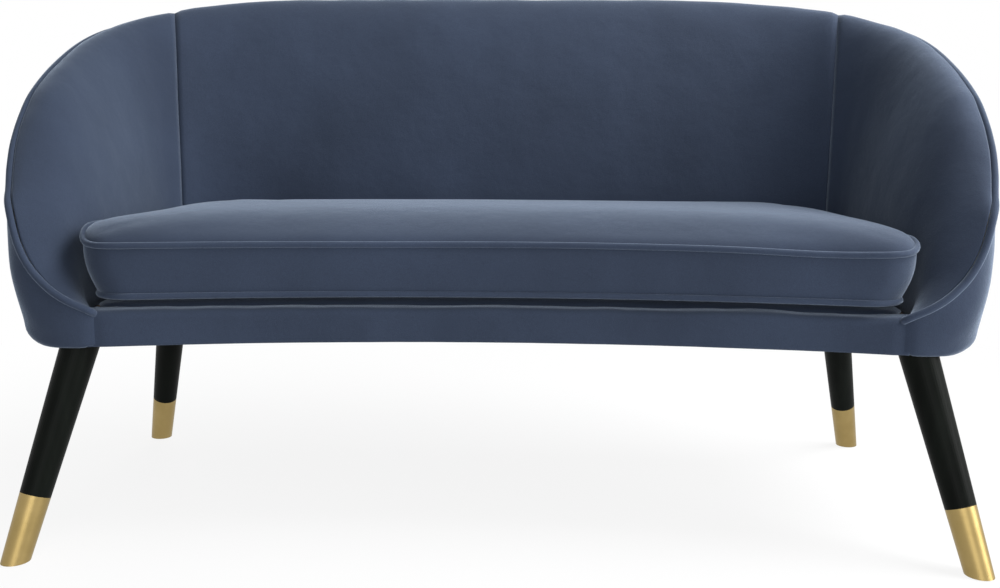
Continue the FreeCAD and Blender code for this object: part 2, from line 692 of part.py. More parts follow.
def seat_spring(index):
    """A zigzag spring: straight runs across, joined by half-round bends, on one flat path."""
    start, end = spring_ends(index)
    x = start.x
    span = end.y - start.y - 2 * SPRING_LEAD
    bends = 2 * int(span / (2 * SPRING_PITCH))
    pitch = span / bends
    r = pitch / 2
    reach = SPRING_HALF_WIDTH - r
    edges = [Part.makeLine(start, V(x, start.y + SPRING_LEAD - r, SPRING_Z))]
    y = start.y + SPRING_LEAD
    edges.append(Part.Arc(V(x, y - r, SPRING_Z), V(x + r - r * math.sqrt(0.5),
                                                   y - r * (1 - math.sqrt(0.5)), SPRING_Z),
                          V(x + r, y, SPRING_Z)).toShape())
    side = 1
    at = x + r
    for bend in range(bends):
        edges.append(Part.makeLine(V(at, y, SPRING_Z), V(x + side * reach, y, SPRING_Z)))
        edges.append(Part.Arc(V(x + side * reach, y, SPRING_Z),
                              V(x + side * (reach + r), y + r, SPRING_Z),
                              V(x + side * reach, y + pitch, SPRING_Z)).toShape())
        at = x + side * reach
        y += pitch
        side = -side
    edges.append(Part.makeLine(V(at, y, SPRING_Z), V(x - r, y, SPRING_Z)))
    edges.append(Part.Arc(V(x - r, y, SPRING_Z), V(x - r + r * math.sqrt(0.5),
                                                   y + r * (1 - math.sqrt(0.5)), SPRING_Z),
                          V(x, y + r, SPRING_Z)).toShape())
    edges.append(Part.makeLine(V(x, y + r, SPRING_Z), end))
    path = Part.Wire(edges)
    circle = Part.Wire([Part.makeCircle(SPRING_WIRE_RADIUS, start, V(0, 1, 0))])
    return path.makePipeShell([circle], True, False)


def spring_clips():
    """Folded steel clips on the rails, each round the end of a spring."""
    clips = []
    for index in range(SPRING_COUNT):
        for end, way in zip(spring_ends(index), (-1, 1)):
            clip = box(end.x - CLIP_WIDTH / 2, end.x + CLIP_WIDTH / 2,
                       end.y - CLIP_LENGTH / 2, end.y + CLIP_LENGTH / 2, RAIL_TOP, CLIP_TOP)
            y0 = end.y - CLIP_LENGTH if way > 0 else end.y
            bore = Part.makeCylinder(SPRING_WIRE_RADIUS, CLIP_LENGTH, V(end.x, y0, SPRING_Z),
                                     V(0, 1, 0))
            clips.append(clip.cut(bore))
    return Part.makeCompound(clips)


SEAT_PLACES = (2.0, 2.3, 2.55, 2.74, 2.88, 3.0, 3.12, 3.26, 3.48, 3.74)


def arc_about(centre, radius, start, end, z):
    """An arc about a centre, between two angles in degrees."""
    points = []
    for angle in (start, (start + end) / 2, end):
        turn = math.radians(angle)
        points.append(V(centre[0] + radius * math.cos(turn), centre[1] + radius * math.sin(turn), z))
    return Part.Arc(*points).toShape()


def seat_outline(gap, setback, corner_radius, z):
    """Plan of what lies between the arms: gap from the inner covers, and setback from the
    face of the rail, whose curve the front edge follows."""
    half = INSIDE_HALF_WIDTH - gap
    rise = RAIL_MIDDLE_Y - RAIL_SEAM_Y
    sweep = (RAIL_SEAM_X ** 2 + rise ** 2) / (2 * rise)
    centre = (0.0, RAIL_MIDDLE_Y - sweep)
    r = corner_radius
    reach = sweep + setback + r
    corner = (half - r, centre[1] + math.sqrt(reach ** 2 - (half - r) ** 2))
    lean = math.degrees(math.atan2(corner[1] - centre[1], corner[0]))
    right = []
    for place in SEAT_PLACES:
        x, y = plan(place, half, INSIDE_BACK_Y - gap, INSIDE_POWER)
        right.append(V(x, y, z))
    left = [V(-p.x, p.y, z) for p in reversed(right)]
    curve = Part.BSplineCurve()
    curve.interpolate(Points=right + [V(0, INSIDE_BACK_Y - gap, z)] + left,
                      InitialTangent=V(0, 1, 0), FinalTangent=V(0, -1, 0))
    edges = [arc_about(centre, sweep + setback, 180.0 - lean, lean, z),
             arc_about(corner, r, lean - 180.0, 0.0, z),
             Part.makeLine(V(half, corner[1], z), right[0]), curve.toShape(),
             Part.makeLine(left[-1], V(-half, corner[1], z)),
             arc_about((-corner[0], corner[1]), r, 180.0, 360.0 - lean, z)]
    return Part.Wire(edges)


def deck_layer(low, high, setback):
    face = Part.Face(seat_outline(DECK_SIDE_GAP, setback, SEAT_CORNER_RADIUS, low))
    return face.extrude(V(0, 0, high - low))


def dust_cover():
    """Thin cloth under the frame, with a round cut-out at each leg plate."""
    points = []
    for place in steps(1.0, 2 * BACK_MIDDLE - 1.0, 41):
        rib = Rib(place)
        points.append(rib.point(rib.edge_radius + FIT, FRAME_BOTTOM - DUST_COVER))
    front_y = RAIL_SEAM_Y + DUST_SETBACK
    corner_x = RAIL_SEAM_X - DUST_CORNER
    edges = [spline(points)]
    left, right = points[-1], points[0]
    bend = front_arc(COVER + FIT, RAIL_SEAM_X - DUST_CURVE)
    z = V(0, 0, FRAME_BOTTOM - DUST_COVER)
    corner_left = V(-corner_x, front_y, 0) + z
    corner_right = V(corner_x, front_y, 0) + z
    edges += [Part.makeLine(left, corner_left), Part.makeLine(corner_left, bend[0] + z),
              Part.Arc(bend[0] + z, bend[1] + z, bend[2] + z).toShape(),
              Part.makeLine(bend[2] + z, corner_right), Part.makeLine(corner_right, right)]
    sheet = Part.Face(Part.Wire(edges)).extrude(V(0, 0, DUST_COVER))
    for _, side in SIDES:
        for end in (-1, 1):
            x, y = leg_top(side, end)
            hole = Part.makeCylinder(PLATE_RADIUS + 2.0, 10.0, V(x, y, FRAME_BOTTOM - 5.0))
            sheet = sheet.cut(hole)
    return sheet


# ---- seat cushion -------------------------------------------------------------------------
def cushion_outline(inset, z):
    radius = max(SEAT_CORNER_RADIUS - inset * 0.5, 8.0)
    return seat_outline(CUSHION_GAP + inset, CUSHION_SETBACK + inset, radius, z)


def slab(inset, low, high):
    return Part.Face(cushion_outline(inset, low)).extrude(V(0, 0, high - low))


def crown(inset, low, top):
    """The domed top of the cushion, as a stack of shrinking outlines joined smoothly."""
    rise = top - low
    wires = []
    for shrink, height in CROWN_LEVELS:
        wires.append(cushion_outline(inset + shrink, low + rise * height))
    return Part.makeLoft(wires, True, True)


def cushion_form(inset):
    body = slab(inset, CUSHION_BOTTOM + inset, CUSHION_SEAM)
    return body.fuse(crown(inset, CUSHION_SEAM, CUSHION_CROWN - inset)).removeSplitter()


def cushion_shell(low, high):
    """The part of the cushion cover between two heights."""
    span = 2 * INSIDE_HALF_WIDTH
    layer = box(-span, span, -span, span, low, high)
    shell = cushion_form(0.0).cut(cushion_form(CUSHION_COVER))
    return shell.common(layer)


def cushion_piping(z):
    """Piping round the cushion, against its seam."""
    path = cushion_outline(-CUSHION_PIPING_RADIUS, z)
    start = path.Edges[0].Curve.value(path.Edges[0].FirstParameter)
    along = path.Edges[0].Curve.tangent(path.Edges[0].FirstParameter)[0]
    circle = Part.Wire([Part.makeCircle(CUSHION_PIPING_RADIUS, start, along)])
    return path.makePipeShell([circle], True, False)


def cushion_zip():
    """Closed zip tape along the middle of the rear border."""
    back = INSIDE_BACK_Y - CUSHION_GAP
    middle = (CUSHION_BOTTOM + CUSHION_SEAM) / 2
    return box(-ZIP_HALF_LENGTH, ZIP_HALF_LENGTH, back, back + ZIP_THICKNESS,
               middle - ZIP_WIDTH / 2, middle + ZIP_WIDTH / 2)


# ---- legs ---------------------------------------------------------------------------------
def leg_axis(side, end):
    top_x, top_y = leg_top(side, end)
    foot = V(side * FOOT_X, FRONT_FOOT_Y if end < 0 else REAR_FOOT_Y, 0)
    return foot, V(top_x, top_y, LEG_TOP)


def leg_cone(side, end, shrink, start, stop):
    """A length of the tapered leg, measured along its axis from the floor."""
    foot, top = leg_axis(side, end)
    axis = top - foot
    length = axis.Length
    axis.normalize()
    slope = (LEG_TOP_RADIUS - FOOT_RADIUS) / length
    return Part.makeCone(FOOT_RADIUS + slope * start - shrink, FOOT_RADIUS + slope * stop - shrink,
                         stop - start, foot + axis * start, axis)


def slice_between(shape, low, high):
    return shape.common(box(-2000, 2000, -2000, 2000, low, high))


def leg_bolt(side, end):
    foot, top = leg_axis(side, end)
    axis = top - foot
    axis.normalize()
    length = BOLT_IN_LEG + BOLT_IN_BLOCK
    return Part.makeCylinder(BOLT_RADIUS, length, top - axis * BOLT_IN_LEG, axis)


def glide(side, end):
    foot, _ = leg_axis(side, end)
    return Part.makeCylinder(GLIDE_RADIUS, GLIDE_THICKNESS, foot)


def leg(side, end):
    """Turned wooden leg with a spigot that fills its metal tip."""
    length = (leg_axis(side, end)[1] - leg_axis(side, end)[0]).Length
    body = leg_cone(side, end, 0.0, TIP_LENGTH, length + 20.0)
    spigot = leg_cone(side, end, TIP_WALL, 0.0, TIP_LENGTH)
    spigot = slice_between(spigot, TIP_CLEARANCE + GLIDE_THICKNESS, LEG_TOP)
    whole = body.fuse(spigot)
    return slice_between(whole, 0.0, LEG_TOP).cut(leg_bolt(side, end))


def leg_tip(side, end):
    """Thin metal cup over the end of the leg."""
    outside = slice_between(leg_cone(side, end, 0.0, -20.0, TIP_LENGTH), TIP_CLEARANCE, LEG_TOP)
    hollow = slice_between(leg_cone(side, end, TIP_WALL, -20.0, TIP_LENGTH + 5.0),
                           TIP_CLEARANCE + GLIDE_THICKNESS, LEG_TOP)
    return outside.cut(hollow).cut(glide(side, end))


def screw_points(side, end):
    x, y = leg_top(side, end)
    points = []
    for index in range(3):
        angle = math.radians(90.0 + 120.0 * index)
        points.append((x + SCREW_CIRCLE * math.cos(angle), y + SCREW_CIRCLE * math.sin(angle)))
    return points


def plate_screw(x, y):
    head = Part.makeCone(SCREW_HEAD_RADIUS, SCREW_RADIUS, SCREW_HEAD_HEIGHT, V(x, y, LEG_TOP))
    shank = Part.makeCylinder(SCREW_RADIUS, SCREW_LENGTH, V(x, y, LEG_TOP))
    return head.fuse(shank).removeSplitter()


def corner_screws(side, end):
    return [plate_screw(x, y) for x, y in screw_points(side, end)]


def leg_plate(side, end):
    x, y = leg_top(side, end)
    plate = Part.makeCylinder(PLATE_RADIUS, PLATE_THICKNESS, V(x, y, LEG_TOP))
    plate = plate.cut(leg_bolt(side, end))
    for screw in corner_screws(side, end):
        plate = plate.cut(screw)
    return plate


def drilled(block, side, end):
    block = block.cut(leg_bolt(side, end))
    for screw in corner_screws(side, end):
        block = block.cut(screw)
    return block


# ---- assembly -----------------------------------------------------------------------------
def build():
    nodes = {}
    nodes["inner_back_cover"] = inner_back_cover()
    nodes["outer_back_cover"] = outer_back_cover()
    nodes["back_padding"] = back_padding()
    nodes["edge_piping"] = edge_piping()
    nodes["back_top_rail"] = back_top_rail()
    nodes["back_lumbar_rails"] = lumbar_rails()
    nodes["back_centre_post"] = post(BACK_MIDDLE - CENTRE_POST_HALF, BACK_MIDDLE + CENTRE_POST_HALF)
    nodes["back_webbing"] = webbing()
    for name, side in SIDES:
        nodes["inner_arm_cover_" + name] = inner_arm_cover(side)
        nodes["outer_side_cover_" + name] = outer_side_cover(side)
        nodes["arm_padding_" + name] = arm_padding(side)
        nodes["arm_top_rail_" + name] = arm_top_rail(side)
        for post_name, start, end in ARM_POSTS:
            nodes["arm_" + post_name + "_post_" + name] = post(start, end, side)
        for post_name, start, end in BACK_POSTS:
            nodes["back_" + post_name + "_post_" + name] = post(start, end, side)

    front = front_rail()
    rear = rear_rail()
    nodes["front_rail"] = front
    nodes["rear_rail"] = drilled(drilled(rear, 1, 1), -1, 1)
    nodes["front_rail_cover"] = front_rail_cover()
    nodes["front_rail_padding"] = front_rail_padding()
    right_rail = side_rail(1)
    nodes["side_rail_right"] = drilled(right_rail, 1, 1)
    nodes["side_rail_left"] = mirror_x(nodes["side_rail_right"])
    block_front = front_block(front, right_rail)
    block_rear = rear_block(right_rail, rear)
    for name, side in SIDES:
        nodes["cross_rail_" + name] = cross_rail(side, front, rear)
        for end_name, end, block in (("front", -1, block_front), ("rear", 1, block_rear)):
            blank = block if side > 0 else mirror_x(block)
            tag = end_name + "_" + name
            nodes["corner_block_" + tag] = drilled(blank, side, end)
            nodes["leg_" + tag] = leg(side, end)
            nodes["leg_tip_" + tag] = leg_tip(side, end)
    corners = [(side, end) for _, side in SIDES for end in (-1, 1)]
    nodes["leg_plates"] = Part.makeCompound([leg_plate(*c) for c in corners])
    nodes["leg_bolts"] = Part.makeCompound([leg_bolt(*c) for c in corners])
    nodes["plate_screws"] = Part.makeCompound([s for c in corners for s in corner_screws(*c)])
    nodes["foot_glides"] = Part.makeCompound([glide(*c) for c in corners])

    nodes["seat_springs"] = Part.makeCompound([seat_spring(i) for i in range(SPRING_COUNT)])
    nodes["spring_clips"] = spring_clips()
    nodes["spring_cloth"] = deck_layer(CLIP_TOP, CLIP_TOP + DECK_CLOTH, RAIL_COVER_RETURN + 1.0)
    nodes["seat_deck"] = deck_layer(CLIP_TOP + DECK_CLOTH, DECK_TOP, DECK_SETBACK)
    nodes["dust_cover"] = dust_cover()

    lower = CUSHION_BOTTOM + LOWER_SEAM_RISE
    nodes["cushion_foam"] = cushion_form(CUSHION_COVER)
    nodes["cushion_top_panel"] = cushion_shell(CUSHION_SEAM, CUSHION_CROWN + 1.0)
    nodes["cushion_border"] = cushion_shell(lower, CUSHION_SEAM)
    nodes["cushion_bottom_panel"] = cushion_shell(CUSHION_BOTTOM - 1.0, lower)
    nodes["cushion_top_piping"] = cushion_piping(CUSHION_SEAM)
    nodes["cushion_bottom_piping"] = cushion_piping(lower)
    nodes["cushion_zip"] = cushion_zip()
    return nodes


def save(nodes):
    os.makedirs("parts", exist_ok=True)
    for name, shape in nodes.items():
        solids = shape.Solids
        valid = shape.isValid()
        print(f"{name:28s} solids {len(solids):3d} volume {shape.Volume / 1000:9.1f} cm3 valid {valid}")
        if len(solids) == 1:
            shape = solids[0]
        shape.exportStep(os.path.join("parts", name + ".step"))


save(build())
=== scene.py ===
"""Looks of the two-seat tub sofa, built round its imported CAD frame.

Frame: metres, +Z up, +X to the right of someone facing the sofa, +Y towards the back, origin on
the floor at the middle of the footprint. The upholstered shell is described by upright ribs along a
path that runs from the right front seam round the arm's nose, along the arm, round the rear corner
and along the back, as in the CAD. A rib is addressed by one number, its place.
"""
import math

import bpy
import numpy as np
from mathutils import Matrix, Vector, noise


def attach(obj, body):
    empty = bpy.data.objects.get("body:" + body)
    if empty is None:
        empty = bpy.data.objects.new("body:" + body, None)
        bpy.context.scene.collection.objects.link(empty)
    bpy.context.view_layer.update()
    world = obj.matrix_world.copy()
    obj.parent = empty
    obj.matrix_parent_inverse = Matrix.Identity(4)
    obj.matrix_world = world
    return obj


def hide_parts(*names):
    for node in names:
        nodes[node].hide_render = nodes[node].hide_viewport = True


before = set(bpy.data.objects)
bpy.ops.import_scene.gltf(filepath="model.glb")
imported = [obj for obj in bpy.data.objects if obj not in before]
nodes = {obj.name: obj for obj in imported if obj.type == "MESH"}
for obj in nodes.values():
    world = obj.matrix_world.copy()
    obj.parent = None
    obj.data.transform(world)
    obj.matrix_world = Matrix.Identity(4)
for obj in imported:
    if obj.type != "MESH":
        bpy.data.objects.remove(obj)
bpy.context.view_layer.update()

SHELL_BODY = "shell"
CUSHION_BODY = "seat_cushion"

# ---- shell, outside of the outer covers ----
BASE_HALF_WIDTH = 0.576
BASE_BACK_Y = 0.198
ARM_FLARE = 0.032
RIM_HALF_WIDTH = BASE_HALF_WIDTH + ARM_FLARE
RIM_BACK_Y = 0.304
STRAIGHT_ARM_BACK_Y = -0.092
CORNER_POWER = 7.0
RIM_POWER = 4.0
BODY_BOTTOM = 0.247
NOSE_X = 0.505
NOSE_Y = -0.187
NOSE_REACH = 0.052
EDGE_RADIUS = 0.020
NOSE_EDGE_RADIUS = 0.004
# The bottom edge's radius grows from the nose's to the full one over this stretch of places.
EDGE_GROWTH_START = 0.3
EDGE_GROWTH_LENGTH = 0.5
# Height of the rim above the bottom edge, round the nose by place and then by its share of the
# way from the nose to the back.
NOSE_RIM = ((0.0, 0.043), (0.25, 0.061), (0.46, 0.085), (0.64, 0.120), (0.82, 0.161), (1.0, 0.182))
SIDE_RIM = ((0.0, 0.182), (0.112, 0.2466), (0.224, 0.300), (0.438, 0.3555), (0.631, 0.393),
            (0.788, 0.4165), (0.91, 0.4385), (0.972, 0.4515), (1.0, 0.4565))
# How far the rim stands out of the bottom edge, by place, round the nose and along the arm.
RIM_FLARE = ((0.0, 0.0), (0.4, 0.003), (0.6, 0.0085), (0.8, 0.0118), (1.0, 0.0165), (1.25, 0.0245),
             (1.5, 0.0297), (1.75, 0.0318), (2.0, ARM_FLARE))

# ---- inside of the shell ----
INSIDE_HALF_WIDTH = 0.505
INSIDE_BACK_Y = 0.168
INSIDE_POWER = 8.0
INNER_LOW = 0.284
RIM_THICKNESS = 0.062
ROLL_RISE = 0.007
ROLL_SHARE = 0.03
BACK_SEAM = 3.04
NOSE_CORE = 0.003
PIPING_RADIUS = 0.0045
COVER = 0.002

# ---- front rail, deck and cushion ----
RAIL_SEAM_X = 0.480
RAIL_MIDDLE_Y = -0.185
RAIL_COVER_TOP = 0.290
RAIL_COVER_RETURN = 0.034
SEAT_CORNER_RADIUS = 0.058
CUSHION_CORNER_RADIUS = 0.044
CUSHION_TOP_GAP = 0.0012
CUSHION_BOTTOM_GAP = 0.016
CUSHION_SETBACK = 0.005
CUSHION_BOTTOM = 0.3003
CUSHION_SEAM = 0.367
CUSHION_CROWN = 0.405
CUSHION_PIPING_RADIUS = 0.004
LOWER_SEAM_RISE = 0.006
DECK_TOP = 0.300
DECK_LOW = 0.288
DECK_SETBACK = 0.022
DECK_SIDE_GAP = 0.003
DECK_CLOTH = 0.0015

BACK_MIDDLE = 4.0
CORNER = 3.0
NOSE_TURN = math.acos((RAIL_SEAM_X - NOSE_X) / (BASE_HALF_WIDTH - NOSE_X))
RAIL_SEAM_Y = NOSE_Y - NOSE_REACH * math.sin(NOSE_TURN)
SIDES = (("right", 1), ("left", -1))


# ---- camera, light and floor ----
CAMERA_PLACE = (0.0305, -1.4398, 0.5092)
CAMERA_YAW = math.radians(1.2)
CAMERA_PITCH = math.radians(9.12)
CAMERA_ROLL = math.radians(0.335)
CAMERA_LENS = 37.45
CAMERA_SENSOR = 36.0
# Name, place, diameter and watts of each light. All aim at one point of the sofa.
LIGHTS = (("key", (1.6, 0, 2.3), 1.6, 74), ("side", (2.5, -0.8, 1.7), 1.6, 30),
          ("low_side", (2.8, -1.2, 0.7), 1.4, 34), ("front", (0, -3.2, 1.0), 2.0, 32),
          ("rear", (-0.8, 3.2, 1.0), 2.0, 45))
LIGHT_AIM = (0, 0, 0.38)
AMBIENT_STRENGTH = 0.15
FLOOR_HALF = 6.0
# The floor's white glow takes over from its own shading between these distances from the middle.
FLOOR_FADE_START = 0.3
FLOOR_FADE_END = 1.5
FLOOR_GLOW_SHARE = 0.86


def add_camera():
    """The camera stands close in front of the sofa, a little above the arms."""
    data = bpy.data.cameras.new("camera")
    data.sensor_width = CAMERA_SENSOR
    data.lens = CAMERA_LENS
    camera = bpy.data.objects.new("camera", data)
    bpy.context.scene.collection.objects.link(camera)
    turn = Matrix.Rotation(CAMERA_YAW, 4, "Z") @ Matrix.Rotation(math.pi / 2 - CAMERA_PITCH, 4, "X")
    turn = turn @ Matrix.Rotation(CAMERA_ROLL, 4, "Z")
    camera.matrix_world = Matrix.Translation(CAMERA_PLACE) @ turn
    bpy.context.scene.camera = camera


def add_area_light(name, place, size, power):
    data = bpy.data.lights.new(name, "AREA")
    data.shape = "DISK"
    data.size = size
    data.energy = power
    light = bpy.data.objects.new(name, data)
    bpy.context.scene.collection.objects.link(light)
    light.location = place
    light.rotation_euler = (Vector(LIGHT_AIM) - Vector(place)).to_track_quat("-Z", "Y").to_euler()


def seen_directly(tree):
    """1 for a ray from the camera or from a mirror or glass, 0 for a ray that lights things."""
    path = tree.nodes.new("ShaderNodeLightPath")
    glossy = tree.nodes.new("ShaderNodeMath")
    glossy.operation = "MAXIMUM"
    tree.links.new(path.outputs["Is Camera Ray"], glossy.inputs[0])
    tree.links.new(path.outputs["Is Glossy Ray"], glossy.inputs[1])
    both = tree.nodes.new("ShaderNodeMath")
    both.operation = "MAXIMUM"
    tree.links.new(glossy.outputs[0], both.inputs[0])
    tree.links.new(path.outputs["Is Transmission Ray"], both.inputs[1])
    return both.outputs[0]


def add_world():
    world = bpy.data.worlds.new("studio")
    world.use_nodes = True
    tree = world.node_tree
    tree.nodes.clear()
    ambient = tree.nodes.new("ShaderNodeBackground")
    ambient.inputs["Color"].default_value = (0.93, 0.96, 1.0, 1)
    ambient.inputs["Strength"].default_value = AMBIENT_STRENGTH
    white = tree.nodes.new("ShaderNodeBackground")
    mix = tree.nodes.new("ShaderNodeMixShader")
    output = tree.nodes.new("ShaderNodeOutputWorld")
    tree.links.new(seen_directly(tree), mix.inputs[0])
    tree.links.new(ambient.outputs[0], mix.inputs[1])
    tree.links.new(white.outputs[0], mix.inputs[2])
    tree.links.new(mix.outputs[0], output.inputs[0])
    white.inputs["Color"].default_value = (1, 1, 1, 1)
    white.inputs["Strength"].default_value = 1.0
    bpy.context.scene.world = world


def add_floor():
    """A pale floor that fades to the white surround and keeps a soft shadow."""
    mesh = bpy.data.meshes.new("floor")
    half = FLOOR_HALF
    mesh.from_pydata([(-half, -half, 0), (half, -half, 0), (half, half, 0), (-half, half, 0)], [],
                     [(0, 1, 2, 3)])
    floor = bpy.data.objects.new("floor", mesh)
    bpy.context.scene.collection.objects.link(floor)
    material = bpy.data.materials.new("floor")
    material.use_nodes = True
    tree = material.node_tree
    tree.nodes.clear()
    matt = tree.nodes.new("ShaderNodeBsdfDiffuse")
    matt.inputs["Color"].default_value = (0.86, 0.86, 0.86, 1)
    glow = tree.nodes.new("ShaderNodeEmission")
    from_middle = tree.nodes.new("ShaderNodeVectorMath")
    from_middle.operation = "LENGTH"
    tree.links.new(coordinates(tree), from_middle.inputs[0])
    fade = tree.nodes.new("ShaderNodeMapRange")
    fade.interpolation_type = "SMOOTHSTEP"
    fade.inputs["From Min"].default_value = FLOOR_FADE_START
    fade.inputs["From Max"].default_value = FLOOR_FADE_END
    fade.inputs["To Min"].default_value = FLOOR_GLOW_SHARE
    fade.inputs["To Max"].default_value = 1.0
    tree.links.new(from_middle.outputs["Value"], fade.inputs["Value"])
    share = tree.nodes.new("ShaderNodeMath")
    share.operation = "MULTIPLY"
    tree.links.new(fade.outputs[0], share.inputs[1])
    mix = tree.nodes.new("ShaderNodeMixShader")
    output = tree.nodes.new("ShaderNodeOutputMaterial")
    tree.links.new(seen_directly(tree), share.inputs[0])
    tree.links.new(share.outputs[0], mix.inputs[0])
    tree.links.new(matt.outputs[0], mix.inputs[1])
    tree.links.new(glow.outputs[0], mix.inputs[2])
    tree.links.new(mix.outputs[0], output.inputs[0])
    mesh.materials.append(material)


# ---- materials ----
def new_material(name, colour, roughness, **sockets):
    """A Principled material. Extra sockets are given by name with _ for spaces."""
    material = bpy.data.materials.new(name)
    material.use_nodes = True
    shader = material.node_tree.nodes["Principled BSDF"]
    shader.inputs["Base Color"].default_value = (*colour, 1)
    shader.inputs["Roughness"].default_value = roughness
    for socket, value in sockets.items():
        shader.inputs[socket.replace("_", " ")].default_value = value
    return material


def coordinates(tree, stretch=(1.0, 1.0, 1.0)):
    source = tree.nodes.new("ShaderNodeTexCoord")
    scale = tree.nodes.new("ShaderNodeMapping")
    scale.inputs["Scale"].default_value = stretch
    tree.links.new(source.outputs["Object"], scale.inputs["Vector"])
    return scale.outputs["Vector"]


def noise_field(tree, scale, detail=3.0, stretch=(1.0, 1.0, 1.0)):
    field = tree.nodes.new("ShaderNodeTexNoise")
    field.inputs["Scale"].default_value = scale
    field.inputs["Detail"].default_value = detail
    tree.links.new(coordinates(tree, stretch), field.inputs["Vector"])
    return field.outputs["Fac"]


def ramp(tree, value, stops):
    """A colour ramp over a value. stops is a list of (position, colour)."""
    node = tree.nodes.new("ShaderNodeValToRGB")
    elements = node.color_ramp.elements
    while len(elements) < len(stops):
        elements.new(0.5)
    for element, (position, colour) in zip(elements, stops):
        element.position = position
        element.color = (*colour, 1)
    tree.links.new(value, node.inputs[0])
    return node.outputs["Color"]


def blend_colours(tree, mode, amount, first, second):
    node = tree.nodes.new("ShaderNodeMix")
    node.data_type = "RGBA"
    node.blend_type = mode
    node.inputs["Factor"].default_value = amount
    tree.links.new(first, node.inputs["A"])
    tree.links.new(second, node.inputs["B"])
    return node.outputs["Result"]


def set_bump(material, *layers):
    """Bump from several height fields. Each layer is (height socket, depth in metres)."""
    tree = material.node_tree
    shader = tree.nodes["Principled BSDF"]
    normal = None
    for height, depth in layers:
        bump = tree.nodes.new("ShaderNodeBump")
        bump.inputs["Strength"].default_value = 1.0
        bump.inputs["Distance"].default_value = depth
        tree.links.new(height, bump.inputs["Height"])
        if normal is not None:
            tree.links.new(normal, bump.inputs["Normal"])
        normal = bump.outputs["Normal"]
    tree.links.new(normal, shader.inputs["Normal"])


def set_colour(material, colour):
    tree = material.node_tree
    tree.links.new(colour, tree.nodes["Principled BSDF"].inputs["Base Color"])


def set_roughness(material, value, low, high):
    tree = material.node_tree
    spread = tree.nodes.new("ShaderNodeMapRange")
    spread.inputs["To Min"].default_value = low
    spread.inputs["To Max"].default_value = high
    tree.links.new(value, spread.inputs["Value"])
    tree.links.new(spread.outputs[0], tree.nodes["Principled BSDF"].inputs["Roughness"])


def velvet(name, tone=1.0):
    """Cut-pile velvet: a soft nap that lies in patches, a fine pile and a pale sheen at edges."""
    # A tone above 1 lightens the whole colour as painted sheen; the piping's copy uses it for the
    # sheen that grazing light gives its round edge.
    blue = (0.036 * tone, 0.050 * tone, 0.084 * tone)
    material = new_material(name, blue, 0.9, Sheen_Weight=0.55, Sheen_Roughness=0.42,
                            Sheen_Tint=(0.62, 0.74, 0.92, 1), Specular_IOR_Level=0.15)
    tree = material.node_tree
    nap = ramp(tree, noise_field(tree, 5.0, 4.0), ((0.3, [c * 0.86 for c in blue]),
                                                  (0.7, [c * 1.14 for c in blue])))
    pile = ramp(tree, noise_field(tree, 900.0, 2.0), ((0.3, (0.72, 0.72, 0.72)), (0.7, (1, 1, 1))))
    set_colour(material, blend_colours(tree, "MULTIPLY", 0.8, nap, pile))
    set_bump(material, (noise_field(tree, 22.0, 4.0), 0.0016),
             (noise_field(tree, 1100.0, 2.0), 0.0003))
    return material


def black_wood():
    """Turned beech, stained black under a thin satin lacquer."""
    material = new_material("black_wood", (0.003, 0.004, 0.003), 0.45, Specular_IOR_Level=0.06)
    tree = material.node_tree
    grain = noise_field(tree, 60.0, 6.0, (1.0, 1.0, 0.07))
    set_colour(material, ramp(tree, grain, ((0.35, (0.0015, 0.0022, 0.0016)),
                                            (0.7, (0.004, 0.0055, 0.0042)))))
    set_roughness(material, grain, 0.38, 0.55)
    set_bump(material, (grain, 0.0003))
    return material


def brass():
    """Satin gold-tone metal of the leg tips, finely brushed round."""
    material = new_material("brass_tip", (0.62, 0.46, 0.20), 0.34, Metallic=1.0)
    tree = material.node_tree
    brushed = noise_field(tree, 900.0, 3.0, (0.06, 0.06, 1.0))
    set_colour(material, ramp(tree, noise_field(tree, 30.0, 3.0),
                              ((0.3, (0.30, 0.218, 0.084)), (0.7, (0.35, 0.258, 0.106)))))
    set_roughness(material, brushed, 0.34, 0.48)
    set_bump(material, (brushed, 0.00008))
    return material


def plywood():
    material = new_material("frame_wood", (0.45, 0.31, 0.18), 0.7)
    tree = material.node_tree
    grain = noise_field(tree, 40.0, 6.0, (0.1, 1.0, 1.0))
    plies = noise_field(tree, 260.0, 1.0, (0.02, 0.02, 1.0))
    wood = ramp(tree, grain, ((0.3, (0.38, 0.25, 0.14)), (0.7, (0.53, 0.38, 0.23))))
    layers = ramp(tree, plies, ((0.42, (0.78, 0.74, 0.7)), (0.58, (1, 1, 1))))
    set_colour(material, blend_colours(tree, "MULTIPLY", 0.7, wood, layers))
    set_bump(material, (grain, 0.0004))
    return material


def steel():
    material = new_material("steel", (0.5, 0.5, 0.5), 0.35, Metallic=1.0)
    tree = material.node_tree
    stain = noise_field(tree, 120.0, 4.0)
    set_colour(material, ramp(tree, stain, ((0.3, (0.42, 0.42, 0.41)), (0.7, (0.58, 0.58, 0.57)))))
    set_roughness(material, stain, 0.25, 0.5)
    return material


def woven(name, dark, light, threads):
    """A plain weave: two crossed sets of ribs, threads per metre."""
    material = new_material(name, light, 0.85, Sheen_Weight=0.15, Sheen_Roughness=0.5)
    tree = material.node_tree
    heights = []
    for direction in ("X", "Y"):
        wave = tree.nodes.new("ShaderNodeTexWave")
        wave.bands_direction = direction
        wave.inputs["Scale"].default_value = threads / 20.0
        wave.inputs["Distortion"].default_value = 0.6
        tree.links.new(coordinates(tree), wave.inputs["Vector"])
        heights.append(wave.outputs["Fac"])
    crossing = tree.nodes.new("ShaderNodeMath")
    crossing.operation = "MULTIPLY"
    tree.links.new(heights[0], crossing.inputs[0])
    tree.links.new(heights[1], crossing.inputs[1])
    set_colour(material, ramp(tree, crossing.outputs[0], ((0.1, dark), (0.7, light))))
    set_bump(material, (crossing.outputs[0], 0.0004))
    return material


